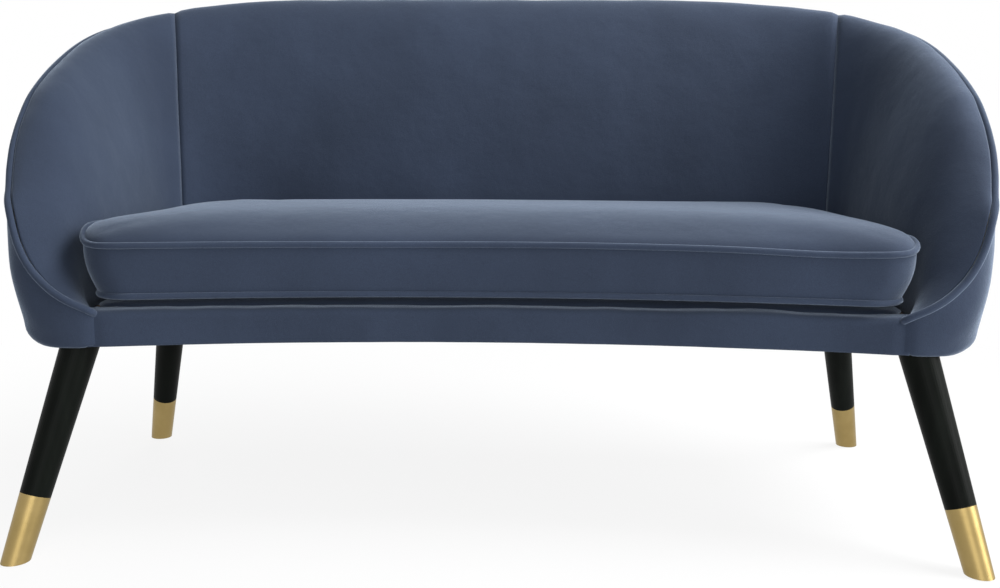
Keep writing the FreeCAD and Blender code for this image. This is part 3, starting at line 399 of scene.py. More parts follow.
def felt(name, dark, light):
    """Matted fibres, as of a deck felt or a bonded lining."""
    material = new_material(name, light, 0.95)
    tree = material.node_tree
    fibres = noise_field(tree, 350.0, 5.0, (1.0, 0.35, 1.0))
    set_colour(material, ramp(tree, fibres, ((0.3, dark), (0.7, light))))
    set_bump(material, (fibres, 0.0005))
    return material


def nylon(name, colour):
    material = new_material(name, colour, 0.45)
    tree = material.node_tree
    scuffs = noise_field(tree, 240.0, 4.0)
    set_colour(material, ramp(tree, scuffs, ((0.3, [c * 0.8 for c in colour]), (0.7, colour))))
    set_roughness(material, scuffs, 0.35, 0.6)
    return material


MATERIALS = {
    "velvet": velvet("velvet"),
    # The piping's copy of the velvet is painted a tenth lighter: painted sheen for the grazing
    # light along its round edge, not a different cloth.
    "velvet_piping": velvet("velvet_piping", 1.1),
    "black_wood": black_wood(),
    "brass_tip": brass(),
    "frame_wood": plywood(),
    "steel": steel(),
    "deck_felt": felt("deck_felt", (0.05, 0.05, 0.055), (0.11, 0.11, 0.12)),
    "lining": felt("lining", (0.012, 0.012, 0.013), (0.03, 0.03, 0.032)),
    "webbing": woven("webbing", (0.16, 0.14, 0.10), (0.5, 0.45, 0.36), 500.0),
    "nylon": nylon("nylon", (0.02, 0.02, 0.02)),
    "zip_tape": woven("zip_tape", (0.015, 0.02, 0.035), (0.04, 0.055, 0.09), 1400.0),
}


# ---- mesh tools ----
def add_piece(name, vertices, faces, material, body, replaced=(), thickness=0.0):
    """A smooth-shaded mesh piece that rides on a body and may stand for CAD nodes."""
    mesh = bpy.data.meshes.new(name)
    mesh.from_pydata([tuple(v) for v in vertices], [], faces)
    mesh.polygons.foreach_set("use_smooth", [True] * len(mesh.polygons))
    mesh.materials.append(MATERIALS[material])
    mesh.update()
    piece = bpy.data.objects.new(name, mesh)
    bpy.context.scene.collection.objects.link(piece)
    if thickness:
        solid = piece.modifiers.new("thickness", "SOLIDIFY")
        solid.thickness = thickness
        solid.offset = -1.0
    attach(piece, body)
    if replaced:
        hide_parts(*replaced)
    return piece


def grid_faces(rows, columns, closed_rows=False, start=0):
    """Quads of a grid of points stored row by row."""
    faces = []
    for r in range(rows if closed_rows else rows - 1):
        for c in range(columns - 1):
            a = start + r * columns + c
            b = start + (r + 1) % rows * columns + c
            faces.append((a, b, b + 1, a + 1))
    return faces


def add_sheet_piece(name, grid, material, body, replaced=(), thickness=0.0, flip=False):
    """A piece from a grid of points, an array of rows by columns by 3."""
    rows, columns = grid.shape[:2]
    faces = grid_faces(rows, columns)
    if flip:
        faces = [face[::-1] for face in faces]
    return add_piece(name, grid.reshape(-1, 3), faces, material, body, replaced, thickness)


def normals_of(grid):
    """Unit normals of a grid surface."""
    along = np.gradient(grid, axis=0)
    across = np.gradient(grid, axis=1)
    normals = np.cross(along, across)
    return normals / np.maximum(np.linalg.norm(normals, axis=2, keepdims=True), 1e-9)


def rumple(point, size, seed):
    """Smooth noise from -1 to 1 whose features are about size metres across."""
    return noise.noise(Vector(point) / size + Vector((seed, seed * 1.7, seed * 0.3)))


def tube(points, radius, closed, sides=12):
    """Vertices and faces of a round tube along points that never run straight up."""
    points = [Vector(p) for p in points]
    count = len(points)
    vertices = []
    for i, centre in enumerate(points):
        ahead = points[(i + 1) % count] if closed or i < count - 1 else centre
        behind = points[i - 1] if closed or i > 0 else centre
        along = (ahead - behind).normalized()
        across = along.cross(Vector((0, 0, 1))).normalized()
        up = across.cross(along)
        for k in range(sides):
            turn = 2 * math.pi * k / sides
            vertices.append(centre + radius * (math.cos(turn) * across + math.sin(turn) * up))
    faces = []
    for i in range(count if closed else count - 1):
        j = (i + 1) % count
        for k in range(sides):
            n = (k + 1) % sides
            faces.append((i * sides + k, i * sides + n, j * sides + n, j * sides + k))
    if not closed:
        faces.append(tuple(range(sides))[::-1])
        faces.append(tuple((count - 1) * sides + k for k in range(sides)))
    return vertices, faces


# ---- ribs of the shell ----
def ease(t):
    """Smooth step from 0 to 1."""
    t = min(1.0, max(0.0, t))
    return t * t * (3.0 - 2.0 * t)


def smooth(points, x):
    """Height of a smooth curve through points at x, with no overshoot between them."""
    xs = [p[0] for p in points]
    ys = [p[1] for p in points]
    steps = [xs[i + 1] - xs[i] for i in range(len(xs) - 1)]
    rises = [(ys[i + 1] - ys[i]) / steps[i] for i in range(len(steps))]
    slopes = [rises[0]]
    for a, b in zip(rises, rises[1:]):
        slopes.append(0.0 if a * b <= 0 else 2.0 * a * b / (a + b))
    slopes.append(rises[-1])
    i = 0
    while i < len(steps) - 1 and x > xs[i + 1]:
        i += 1
    t = (x - xs[i]) / steps[i]
    start = ys[i] * (1 + 2 * t) * (1 - t) ** 2 + steps[i] * slopes[i] * t * (1 - t) ** 2
    end = ys[i + 1] * t * t * (3 - 2 * t) + steps[i] * slopes[i + 1] * t * t * (t - 1)
    return start + end


def partner(fraction, power):
    """The other coordinate of a unit superellipse."""
    return max(0.0, 1.0 - fraction ** power) ** (1.0 / power)


def plan(place, half_width, back_y, power):
    """Plan point of a squared-off outline from the end of the straight arm to the back."""
    depth = back_y - STRAIGHT_ARM_BACK_Y
    middle = 0.5 ** (1.0 / power)
    if place <= CORNER:
        along = middle * (place - 2.0)
        return half_width * partner(along, power), STRAIGHT_ARM_BACK_Y + depth * along
    across = middle * (BACK_MIDDLE - place)
    return half_width * across, STRAIGHT_ARM_BACK_Y + depth * partner(across, power)


def within(x, y, half_width, back_y, power):
    across = abs(x) / half_width
    along = max(0.0, y - STRAIGHT_ARM_BACK_Y) / (back_y - STRAIGHT_ARM_BACK_Y)
    return across ** power + along ** power < 1.0


def inward_normal(point):
    """Unit normal of the bottom edge's outline at one of its points, pointing inward."""
    depth = BASE_BACK_Y - STRAIGHT_ARM_BACK_Y
    power = CORNER_POWER - 1.0
    nx = (max(0.0, point[0]) / BASE_HALF_WIDTH) ** power / BASE_HALF_WIDTH
    ny = (max(0.0, point[1] - STRAIGHT_ARM_BACK_Y) / depth) ** power / depth
    length = math.hypot(nx, ny)
    return -nx / length, -ny / length


def bezier(controls, t):
    points = list(controls)
    while len(points) > 1:
        points = [(a[0] + (b[0] - a[0]) * t, a[1] + (b[1] - a[1]) * t)
                  for a, b in zip(points, points[1:])]
    return points[0]


def side_rim_height(y):
    """Height of the rim beside the arms and behind, by its distance back."""
    return BODY_BOTTOM + smooth(SIDE_RIM, (y - NOSE_Y) / (RIM_BACK_Y - NOSE_Y))


# Distances inward between which a rib's crossing with the rim and with the inside is looked for.
RIM_SEARCH = (-0.3, 0.0)
INSIDE_SEARCH = (0.0, 0.15)
CROSSING_HALVINGS = 40
LEAST_CORE = 0.004


class Rib:
    """An upright plane across the shell wall. u is the distance inward from the bottom edge."""

    def __init__(self, place):
        self.side = 1
        if place > BACK_MIDDLE:
            self.side = -1
            place = 2.0 * BACK_MIDDLE - place
        self.place = place
        growth = ease((place - EDGE_GROWTH_START) / EDGE_GROWTH_LENGTH)
        self.edge_radius = NOSE_EDGE_RADIUS + (EDGE_RADIUS - NOSE_EDGE_RADIUS) * growth
        if place <= 1.0:
            turn = NOSE_TURN * (1.0 - place)
            out_x = (BASE_HALF_WIDTH - NOSE_X) * math.cos(turn)
            out_y = -NOSE_REACH * math.sin(turn)
            reach = math.hypot(out_x, out_y)
            self.base = (NOSE_X + out_x, NOSE_Y + out_y)
            self.inward = (-out_x / reach, -out_y / reach)
            self.flare = smooth(RIM_FLARE, place)
            self.depth = reach - NOSE_CORE
            self.height = BODY_BOTTOM + smooth(NOSE_RIM, place)
        elif place <= 2.0:
            along = place - 1.0
            share = math.sin(along * math.pi / 2) ** 2
            self.base = (BASE_HALF_WIDTH, NOSE_Y + along * (STRAIGHT_ARM_BACK_Y - NOSE_Y))
            self.inward = (-1.0, 0.0)
            self.flare = smooth(RIM_FLARE, place)
            self.depth = BASE_HALF_WIDTH - INSIDE_HALF_WIDTH - NOSE_CORE * (1.0 - share)
            self.height = side_rim_height(self.base[1])
        else:
            self.base = plan(place, BASE_HALF_WIDTH, BASE_BACK_Y, CORNER_POWER)
            self.inward = inward_normal(self.base)
            self.flare = -self.crossing((RIM_HALF_WIDTH, RIM_BACK_Y, RIM_POWER), *RIM_SEARCH)
            inside = (INSIDE_HALF_WIDTH, INSIDE_BACK_Y, INSIDE_POWER)
            self.depth = self.crossing(inside, *INSIDE_SEARCH)
            self.height = side_rim_height(self.base[1] - self.inward[1] * self.flare)
        self.rim_thickness = min(RIM_THICKNESS, self.depth + self.flare - LEAST_CORE)

    def crossing(self, outline, low, high):
        """Distance inward, between low and high, at which the rib crosses a plan outline."""
        for _ in range(CROSSING_HALVINGS):
            middle = (low + high) / 2
            x = self.base[0] + self.inward[0] * middle
            y = self.base[1] + self.inward[1] * middle
            if within(x, y, *outline):
                high = middle
            else:
                low = middle
        return high

    def point(self, u, z):
        x = self.base[0] + self.inward[0] * u
        y = self.base[1] + self.inward[1] * u
        return self.side * x, y, z

    def outer(self, z):
        """Outer face at height z: a straight lean from the bottom edge to the rim."""
        return -self.flare * (z - BODY_BOTTOM) / (self.height - BODY_BOTTOM)

    def inner_curve(self, count):
        """Points of the inner face from the rails over the roll to the rim. The curve's control
        points are shares of the face's height, the rim's thickness and the roll's rise."""
        tall = self.height - INNER_LOW
        rise = min(ROLL_RISE, ROLL_SHARE * tall)
        edge = -self.flare
        thick = self.rim_thickness
        controls = ((self.depth, INNER_LOW), (self.depth, INNER_LOW + 0.42 * tall),
                    (edge + thick + 0.006, self.height - 0.2 * tall),
                    (edge + 0.88 * thick, self.height + 1.8 * rise),
                    (edge + 0.3 * thick, self.height + 1.9 * rise),
                    (edge + PIPING_RADIUS + 0.0005, self.height + 0.3 * rise))
        return [self.point(*bezier(controls, i / (count - 1))) for i in range(count)]


def rim_point(place):
    rib = Rib(place)
    return rib.point(-rib.flare, rib.height)


# Ribs in each unit of place: nose, straight arm, arm to rear corner, half of the back.
RIBS_PER_STRETCH = (26, 14, 44, 66)


def places_between(start, end):
    """Closely spaced places from start to end, on the right half or across the back."""
    if end > BACK_MIDDLE:
        half = places_between(start, BACK_MIDDLE)
        return half + [2 * BACK_MIDDLE - p for p in half[-2::-1]]
    places = []
    for stretch, count in enumerate(RIBS_PER_STRETCH):
        low, high = max(start, stretch), min(end, stretch + 1)
        if high > low:
            inner = max(2, round(count * (high - low)))
            places += [low + (high - low) * i / inner for i in range(inner)]
    return places + [end]


def side_places(start, end, side):
    places = places_between(start, end)
    return places if side > 0 else [2 * BACK_MIDDLE - p for p in places]


# ---- shell upholstery ----
FACE_POINTS = 40
SEAM_DEPTH = 0.0030
SEAM_REACH = 0.007
# Depth, size of the features and seed of each unevenness of the padding.
UNEVENNESS = ((0.0016, 0.11, 3.0), (0.0007, 0.035, 8.0))


def seam_valley(distance):
    """How far a cover is pulled in at a distance from a seam."""
    return SEAM_DEPTH * math.exp(-(distance / SEAM_REACH) ** 2)


def inner_grid(places):
    return np.array([Rib(p).inner_curve(FACE_POINTS) for p in places])


def soften(grid, inside_sign, seam_rows=()):
    """Upholstered look: gentle unevenness of the padding, and a valley along sewn edges. A positive
    lift goes into the padding, and inside_sign turns the grid's normals that way."""
    normals = normals_of(grid) * inside_sign
    out = grid.copy()
    rows, columns = grid.shape[:2]
    for r in range(rows):
        for c in range(columns):
            point = grid[r, c]
            lift = sum(depth * rumple(point, size, seed) for depth, size, seed in UNEVENNESS)
            for seam in seam_rows:
                lift += seam_valley(np.linalg.norm(point - grid[seam, c]))
            out[r, c] = point + normals[r, c] * lift
    return out


NOSE_EVEN_ROUNDS = 160
NOSE_EVEN_END = 1.75
NOSE_EVEN_FADE = 0.6
RIM_HOLD_POINTS = 14


def even_nose(grid, places):
    """Lets the cover run in one curve from the arm's inside to its nose, like stretched cloth. The
    rim and the front seam stay; the effect fades out along the arm."""
    columns = grid.shape[1]
    fade = np.array([ease((NOSE_EVEN_END - p) / NOSE_EVEN_FADE) for p in places])[:, None]
    hold = np.array([ease((columns - 1 - c) / RIM_HOLD_POINTS) for c in range(columns)])[None, :]
    share = (fade * hold)[1:-1, 1:-1, None]
    for _ in range(NOSE_EVEN_ROUNDS):
        mean = (grid[:-2, 1:-1] + grid[2:, 1:-1] + grid[1:-1, :-2] + grid[1:-1, 2:]) / 4
        grid[1:-1, 1:-1] += share * (mean - grid[1:-1, 1:-1])
        edge = (grid[:-2, 0] + grid[2:, 0]) / 2
        grid[1:-1, 0, :2] += fade[1:-1] * (edge - grid[1:-1, 0])[:, :2]
    return grid


def build_inner_covers():
    back = inner_grid(places_between(BACK_SEAM, 2 * BACK_MIDDLE - BACK_SEAM))
    piece = add_sheet_piece("back_inner_cover", soften(back, 1.0, (0, -1)), "velvet", SHELL_BODY,
                            ("inner_back_cover", "back_padding"), COVER)
    for name, side in SIDES:
        places = places_between(0.0, BACK_SEAM)
        grid = even_nose(inner_grid(places), places) * (side, 1, 1)
        grid = soften(grid, side, (-1,))
        piece = add_sheet_piece("arm_inner_cover_" + name, grid, "velvet", SHELL_BODY,
                                ("inner_arm_cover_" + name, "arm_padding_" + name), COVER, side < 0)


EDGE_ROWS = 7
FACE_ROWS = 24
OUTER_SWELL = 0.006
SWELL_START = 0.1
SWELL_LENGTH = 0.6
SWELL_POWER = 1.5
PIPING_SINK = 0.6    # share of the piping's radius by which the covers stop below the rim


def outer_grid(places):
    """Outer face of the covers, from the edge turned under the base up to the piping."""
    grid = []
    for place in places:
        rib = Rib(place)
        r = rib.edge_radius
        swell = OUTER_SWELL * ease((rib.place - SWELL_START) / SWELL_LENGTH)
        column = []
        for i in range(EDGE_ROWS):
            a = math.pi / 2 * i / EDGE_ROWS
            z = BODY_BOTTOM + r * (1 - math.cos(a))
            column.append(rib.point(rib.outer(z) + r * (1 - math.sin(a)), z))
        low, high = BODY_BOTTOM + r, rib.height - PIPING_SINK * PIPING_RADIUS
        for i in range(FACE_ROWS):
            t = i / (FACE_ROWS - 1)
            z = low + (high - low) * t
            bulge = swell * math.sin(math.pi * t) ** SWELL_POWER
            column.append(rib.point(rib.outer(z) - bulge, z))
        grid.append(column)
    return np.array(grid)


TUCK_RADIUS = 0.0022
TUCK_STEPS = 6


def tuck_front(grid):
    """Rolls the front edge of a side cover in, towards the rail's cover, as it is sewn."""
    ahead = grid[0] - grid[1]
    ahead /= np.linalg.norm(ahead, axis=1, keepdims=True)
    inward = np.cross(ahead, (0.0, 0.0, 1.0))
    inward[:, 1] = np.abs(inward[:, 1])
    rows = []
    for i in range(TUCK_STEPS, 0, -1):
        turn = math.pi / 2 * i / TUCK_STEPS
        roll = math.sin(turn) * ahead + (1 - math.cos(turn)) * inward
        rows.append(grid[0] + TUCK_RADIUS * roll)
    return np.concatenate([[rows[0] + TUCK_RADIUS * inward], rows, grid])


def build_outer_covers():
    back = outer_grid(places_between(CORNER, 2 * BACK_MIDDLE - CORNER))
    add_sheet_piece("back_outer_cover", soften(back, -1.0, (0, -1)), "velvet", SHELL_BODY,
                    ("outer_back_cover",), COVER, True)
    for name, side in SIDES:
        grid = outer_grid(side_places(0.0, CORNER, side))
        grid = tuck_front(soften(grid, -side, (0, -1)))
        add_sheet_piece("side_outer_cover_" + name, grid, "velvet", SHELL_BODY,
                        ("outer_side_cover_" + name,), COVER, side > 0)


# The ends of the rim piping dive behind the rail's cover: inward, back and down from its last
# point.
PIPING_TUCK = ((0.0008, 0.0022, 0.0012), (0.0010, 0.0062, 0.0040), (0.0010, 0.0120, 0.0080))


def build_rim_piping():
    path = [rim_point(p) for p in places_between(0.0, 2 * BACK_MIDDLE)]
    x, y, z = path[0]
    ends = [(x - inward, y + back, z - down) for inward, back, down in PIPING_TUCK]
    path = ends[::-1] + path + [(-px, py, pz) for px, py, pz in ends]
    vertices, faces = tube(path, PIPING_RADIUS, False)
    add_piece("rim_piping", vertices, faces, "velvet_piping", SHELL_BODY, ("edge_piping",))


# ---- front rail ----
def rail_circle():
    """Centre and radius of the front rail's curve in plan."""
    rise = RAIL_MIDDLE_Y - RAIL_SEAM_Y
    radius = (RAIL_SEAM_X ** 2 + rise ** 2) / (2 * rise)
    return RAIL_MIDDLE_Y - radius, radius


RAIL_TUCK = 0.006
RAIL_EDGE_RADIUS = 0.010
RAIL_FACE_STEPS = 12
RAIL_EDGE_STEPS = 8
RAIL_RETURN_STEPS = 4
RAIL_COLUMNS = 200


def build_rail_cover():
    """The cover of the front rail: up the curved face, round its top edge and back."""
    centre_y, radius = rail_circle()
    edge = RAIL_EDGE_RADIUS
    face = RAIL_COVER_TOP - edge - BODY_BOTTOM
    profile = [(0.0, BODY_BOTTOM + face * i / RAIL_FACE_STEPS) for i in range(RAIL_FACE_STEPS + 1)]
    for i in range(1, RAIL_EDGE_STEPS + 1):
        turn = math.pi / 2 * i / RAIL_EDGE_STEPS
        profile.append((edge - edge * math.cos(turn),
                        RAIL_COVER_TOP - edge + edge * math.sin(turn)))
    profile += [(edge + (RAIL_COVER_RETURN - edge) * i / RAIL_RETURN_STEPS, RAIL_COVER_TOP)
                for i in range(1, RAIL_RETURN_STEPS + 1)]
    reach = math.asin((RAIL_SEAM_X + RAIL_TUCK) / radius)
    seam = reach * RAIL_SEAM_X / (RAIL_SEAM_X + RAIL_TUCK)
    grid = []
    for i in range(RAIL_COLUMNS + 1):
        lean = reach * (2 * i / RAIL_COLUMNS - 1)
        hollow = seam_valley((reach - abs(lean) - (reach - seam)) * radius)
        grid.append([((radius + s + hollow) * math.sin(lean),
                      centre_y + (radius + s + hollow) * math.cos(lean), z) for s, z in profile])
    grid = soften(np.array(grid), 1.0)
    piece = add_sheet_piece("rail_front_cover", grid, "velvet", SHELL_BODY,
                            ("front_rail_cover", "front_rail_padding"), COVER)


# ---- what lies between the arms ----
def resample(points, count):
    """Points evenly spaced along a polyline."""
    points = np.array(points)
    lengths = np.concatenate([[0.0], np.cumsum(np.linalg.norm(np.diff(points, axis=0), axis=1))])
    wanted = np.linspace(0.0, lengths[-1], count)
    return np.stack([np.interp(wanted, lengths, points[:, k]) for k in range(points.shape[1])], 1)


FRONT_STEPS = 39
SEAT_CORNER_STEPS = 20
PLAN_STEPS = 30


def right_half_outline(gap, setback, corner_radius):
    """The plan's right half in three lists: front middle to the front corner's middle, from there
    along the side to the rear corner, and from there to the middle of the back."""
    half = INSIDE_HALF_WIDTH - gap
    centre_y, sweep = rail_circle()
    r = corner_radius
    reach = sweep + setback
    corner_x = half - r
    corner_y = centre_y + math.sqrt((reach + r) ** 2 - corner_x ** 2)
    lean = math.atan2(corner_y - centre_y, corner_x)
    front = []
    for i in range(FRONT_STEPS + 1):
        turn = math.pi / 2 + (lean - math.pi / 2) * i / FRONT_STEPS
        front.append((reach * math.cos(turn), centre_y + reach * math.sin(turn)))
    start, end = lean - math.pi, 0.0
    corner = []
    for i in range(SEAT_CORNER_STEPS + 1):
        turn = start + (end - start) * i / SEAT_CORNER_STEPS
        corner.append((corner_x + r * math.cos(turn), corner_y + r * math.sin(turn)))
    stretches = [[plan(first + i / PLAN_STEPS, half, INSIDE_BACK_Y - gap, INSIDE_POWER)
                  for i in range(PLAN_STEPS + 1)] for first in (2.0, CORNER)]
    split = SEAT_CORNER_STEPS // 2
    return front + corner[1:split + 1], corner[split:] + stretches[0], stretches[1]


def seat_grid(gap, setback, corner_radius, across, deep):
    """A grid of plan points that fills the seat outline, across by deep."""
    front, side, back = right_half_outline(gap, setback, corner_radius)
    front = resample([(-x, y) for x, y in front[:0:-1]] + front, across)
    back = resample([(-x, y) for x, y in back] + back[-2::-1], across)
    right = resample(side, deep)
    left = right * (-1, 1)
    return filled(front, back, left, right)


def filled(front, back, left, right):
    """A grid of plan points between four edge lines."""
    u = np.linspace(0, 1, len(front))[:, None, None]
    v = np.linspace(0, 1, len(right))[None, :, None]
    sides = (1 - v) * front[:, None] + v * back[:, None] + (1 - u) * left[None] + u * right[None]
    corners = ((1 - u) * (1 - v) * front[0] + u * (1 - v) * front[-1]
               + (1 - u) * v * back[0] + u * v * back[-1])
    return sides - corners


def ring_of(grid):
    """Indices (row, column) of a grid's border, once round."""
    rows, columns = grid.shape[:2]
    ring = [(r, 0) for r in range(rows)]
    ring += [(rows - 1, c) for c in range(1, columns)]
    ring += [(r, columns - 1) for r in range(rows - 2, -1, -1)]
    ring += [(0, c) for c in range(columns - 2, 0, -1)]
    return ring


CUSHION_ACROSS = 124
CUSHION_DEEP = 52
BORDER_ROWS = 9
SIDE_SEAM_LIFTS = {1: 0.012, -1: 0.019}
SIDE_CROWN_RISE = 0.0035
SIDE_CROWN_X = 0.28
SIDE_CROWN_LENGTH = 0.14
# The seam is lifted from SEAM_LIFT_X outwards and from SEAM_LIFT_Y backwards, and settles behind
# SEAM_SETTLE_Y. Each change takes the length given beside it.
SEAM_LIFT_X, SEAM_LIFT_X_LENGTH = 0.43, 0.07
SEAM_LIFT_Y, SEAM_LIFT_Y_LENGTH = -0.225, 0.06
SEAM_SETTLE_Y, SEAM_SETTLE_Y_LENGTH = -0.14, 0.10
SEAM_SETTLE_SHARE = 0.85
SEAM_SAG = 0.004
SEAM_SAG_X = 0.40
SEAM_SAG_REACH = 0.09
SEAM_WAVE = 0.0022
SEAM_WAVE_SIZE = 0.28
BORDER_BULGE = 0.006
# The panels rise to their crown in a dome that is flat in the middle and steep at the seams.
DOME_ACROSS_POWER = 16
DOME_DEEP_POWER = 5
DOME_ROUNDING = 0.6
CUSHION_FILL = 0.010


def seam_height(x, y):
    """The upper seam rides up where the noses of the arms press on the cushion, sags a little
    towards its right end, and waves."""
    rise = SIDE_SEAM_LIFTS[1 if x > 0 else -1]
    lift = rise * ease((abs(x) - SEAM_LIFT_X) / SEAM_LIFT_X_LENGTH)
    lift *= ease((y - SEAM_LIFT_Y) / SEAM_LIFT_Y_LENGTH)
    lift *= 1.0 - SEAM_SETTLE_SHARE * ease((y - SEAM_SETTLE_Y) / SEAM_SETTLE_Y_LENGTH)
    sag = SEAM_SAG * math.exp(-((x - SEAM_SAG_X) / SEAM_SAG_REACH) ** 2)
    wave = SEAM_WAVE * rumple((x, y, 0.0), SEAM_WAVE_SIZE, 2.0)
    return CUSHION_SEAM + lift - sag + wave


def cushion_mesh():
    """Vertices and faces of the box cushion before it is filled, and the rings of vertices round
    its border from the lower seam to the upper one."""
    lower_seam = CUSHION_BOTTOM + LOWER_SEAM_RISE
    vertices, faces = [], []
    for level, gap in (("top", CUSHION_TOP_GAP), ("bottom", CUSHION_BOTTOM_GAP)):
        grid = seat_grid(gap, CUSHION_SETBACK, CUSHION_CORNER_RADIUS, CUSHION_ACROSS, CUSHION_DEEP)
        rows, columns = grid.shape[:2]
        start = len(vertices)
        for r in range(rows):
            for c in range(columns):
                x, y = grid[r, c]
                u, v = abs(2 * r / (rows - 1) - 1), abs(2 * c / (columns - 1) - 1)
                dome = ((1 - u ** DOME_ACROSS_POWER) ** DOME_ROUNDING
                        * (1 - v ** DOME_DEEP_POWER) ** DOME_ROUNDING)
                if level == "top":
                    seam = seam_height(x, y)
                    at_side = ease((abs(x) - SIDE_CROWN_X) / SIDE_CROWN_LENGTH)
                    crown = CUSHION_CROWN - CUSHION_FILL + SIDE_CROWN_RISE * at_side
                    z = seam + max(0.0, crown - seam) * dome
                else:
                    z = lower_seam - LOWER_SEAM_RISE * min(1.0, 3.0 * dome)
                vertices.append((x, y, z))
        quads = grid_faces(rows, columns, start=start)
        faces += quads if level == "top" else [q[::-1] for q in quads]
    top_ring = [r * columns + c for r, c in ring_of(grid)]
    bottom_ring = [rows * columns + i for i in top_ring]
    layers = [bottom_ring]
    for row in range(1, BORDER_ROWS):
        t = row / BORDER_ROWS
        layer = []
        for low, high in zip(bottom_ring, top_ring):
            layer.append(len(vertices))
            a, b = np.array(vertices[low]), np.array(vertices[high])
            swell = 1.0 + BORDER_BULGE * math.sin(math.pi * t) / np.linalg.norm(b[:2])
            vertices.append(tuple((a + (b - a) * t) * (swell, swell, 1.0)))
        layers.append(layer)
    layers.append(top_ring)
    for low, high in zip(layers, layers[1:]):
        for i in range(len(low)):
            j = (i + 1) % len(low)
            faces.append((low[i], low[j], high[j], high[i]))
    return vertices, faces, layers


CUSHION_SWELL_CAP = 0.014
CLOTH_STEPS = 20
CLOTH_SETTINGS = {"quality": 6, "mass": 0.3, "tension_stiffness": 30.0,
                  "compression_stiffness": 30.0, "shear_stiffness": 20.0, "bending_stiffness": 4.0,
                  "use_pressure": True, "uniform_pressure_force": 4.0}


def fill_cushion(piece, seams):
    """Blows the cushion up as cloth held at its seams, and keeps the swell within a cap."""
    group = piece.vertex_groups.new(name="seams")
    group.add(seams, 1.0, "REPLACE")
    rest = np.array([v.co for v in piece.data.vertices])
    cloth = piece.modifiers.new("filling", "CLOTH")
    for setting, value in CLOTH_SETTINGS.items():
        setattr(cloth.settings, setting, value)
    cloth.settings.vertex_group_mass = group.name
    cloth.settings.effector_weights.gravity = 0.0
    scene = bpy.context.scene
    for step in range(1, CLOTH_STEPS + 1):
        scene.frame_set(step)
    graph = bpy.context.evaluated_depsgraph_get()
    swollen = np.array([v.co for v in piece.evaluated_get(graph).data.vertices])
    piece.modifiers.remove(cloth)
    scene.frame_set(1)
    moved = swollen - rest
    distance = np.maximum(np.linalg.norm(moved, axis=1, keepdims=True), 1e-9)
    moved *= CUSHION_SWELL_CAP * np.tanh(distance / CUSHION_SWELL_CAP) / distance
    settled = rest + moved
    settled[:, 2] = np.maximum(settled[:, 2], CUSHION_BOTTOM)
    piece.data.vertices.foreach_set("co", settled.ravel())
    piece.data.update()


def build_cushion():
    vertices, faces, layers = cushion_mesh()
    bottom_ring, top_ring = layers[0], layers[-1]
    covers = ("cushion_foam", "cushion_top_panel", "cushion_border", "cushion_bottom_panel")
    piece = add_piece("seat_cushion_cover", vertices, faces, "velvet", CUSHION_BODY, covers)
    seams = {"top": [vertices[i] for i in top_ring],
             "bottom": [vertices[i] for i in bottom_ring]}
    fill_cushion(piece, top_ring + bottom_ring)
    finer = piece.modifiers.new("finer", "SUBSURF")
    finer.levels = finer.render_levels = 1
    for level, seam in seams.items():
        tube_vertices, tube_faces = tube(seam, CUSHION_PIPING_RADIUS, True)
        add_piece("cushion_piping_" + level, tube_vertices, tube_faces, "velvet_piping",
                  CUSHION_BODY, ("cushion_" + level + "_piping",))
    build_zip(piece, layers)


ZIP_HALF_LENGTH = 0.2
ZIP_FRONT_LIMIT = 0.1
ZIP_TAPE_THICKNESS = 0.0006
ZIP_LAYERS = slice(3, 7)
ZIP_STAND_OFF = 0.0012
TEETH_RADIUS = 0.0018
TEETH_SIDES = 8
SLIDER = (0.011, 0.004, 0.008)
SLIDER_ROUNDING = 0.0012


def build_zip(cushion, layers):
    """The closed zip along the middle of the rear border: tape, teeth and slider."""
    points = [[np.array(cushion.data.vertices[i].co) for i in layer]
              for layer in layers[ZIP_LAYERS]]
    behind = [k for k, p in enumerate(points[0])
              if p[1] > ZIP_FRONT_LIMIT and abs(p[0]) <= ZIP_HALF_LENGTH]
    behind.sort(key=lambda k: points[0][k][0])
    grid = np.array([[row[k] + (0, ZIP_STAND_OFF, 0) for row in points] for k in behind])
    tape = add_sheet_piece("zip_tape", grid, "zip_tape", CUSHION_BODY, ("cushion_zip",),
                           ZIP_TAPE_THICKNESS, True)
    middle = (grid[:, 1] + grid[:, 2]) / 2
    vertices, faces = tube(middle, TEETH_RADIUS, False, TEETH_SIDES)
    teeth = add_piece("zip_teeth", vertices, faces, "nylon", CUSHION_BODY)
    corners = [middle[-3] + np.array(SLIDER) * (i - 0.5, j, k - 0.5)
               for i in (0, 1) for j in (0, 1) for k in (0, 1)]
    sides = [(0, 1, 3, 2), (4, 6, 7, 5), (0, 4, 5, 1), (2, 3, 7, 6), (0, 2, 6, 4), (1, 5, 7, 3)]
    slider = add_piece("zip_slider", corners, sides, "steel", CUSHION_BODY)
    round_off = slider.modifiers.new("rounded", "BEVEL")
    round_off.width = SLIDER_ROUNDING
    round_off.segments = 3


DECK_BAND = 0.075
DECK_ACROSS = 100
DECK_DEEP = 48
DECK_UNEVENNESS = 0.0006
DECK_RUMPLE_SIZE = 0.06


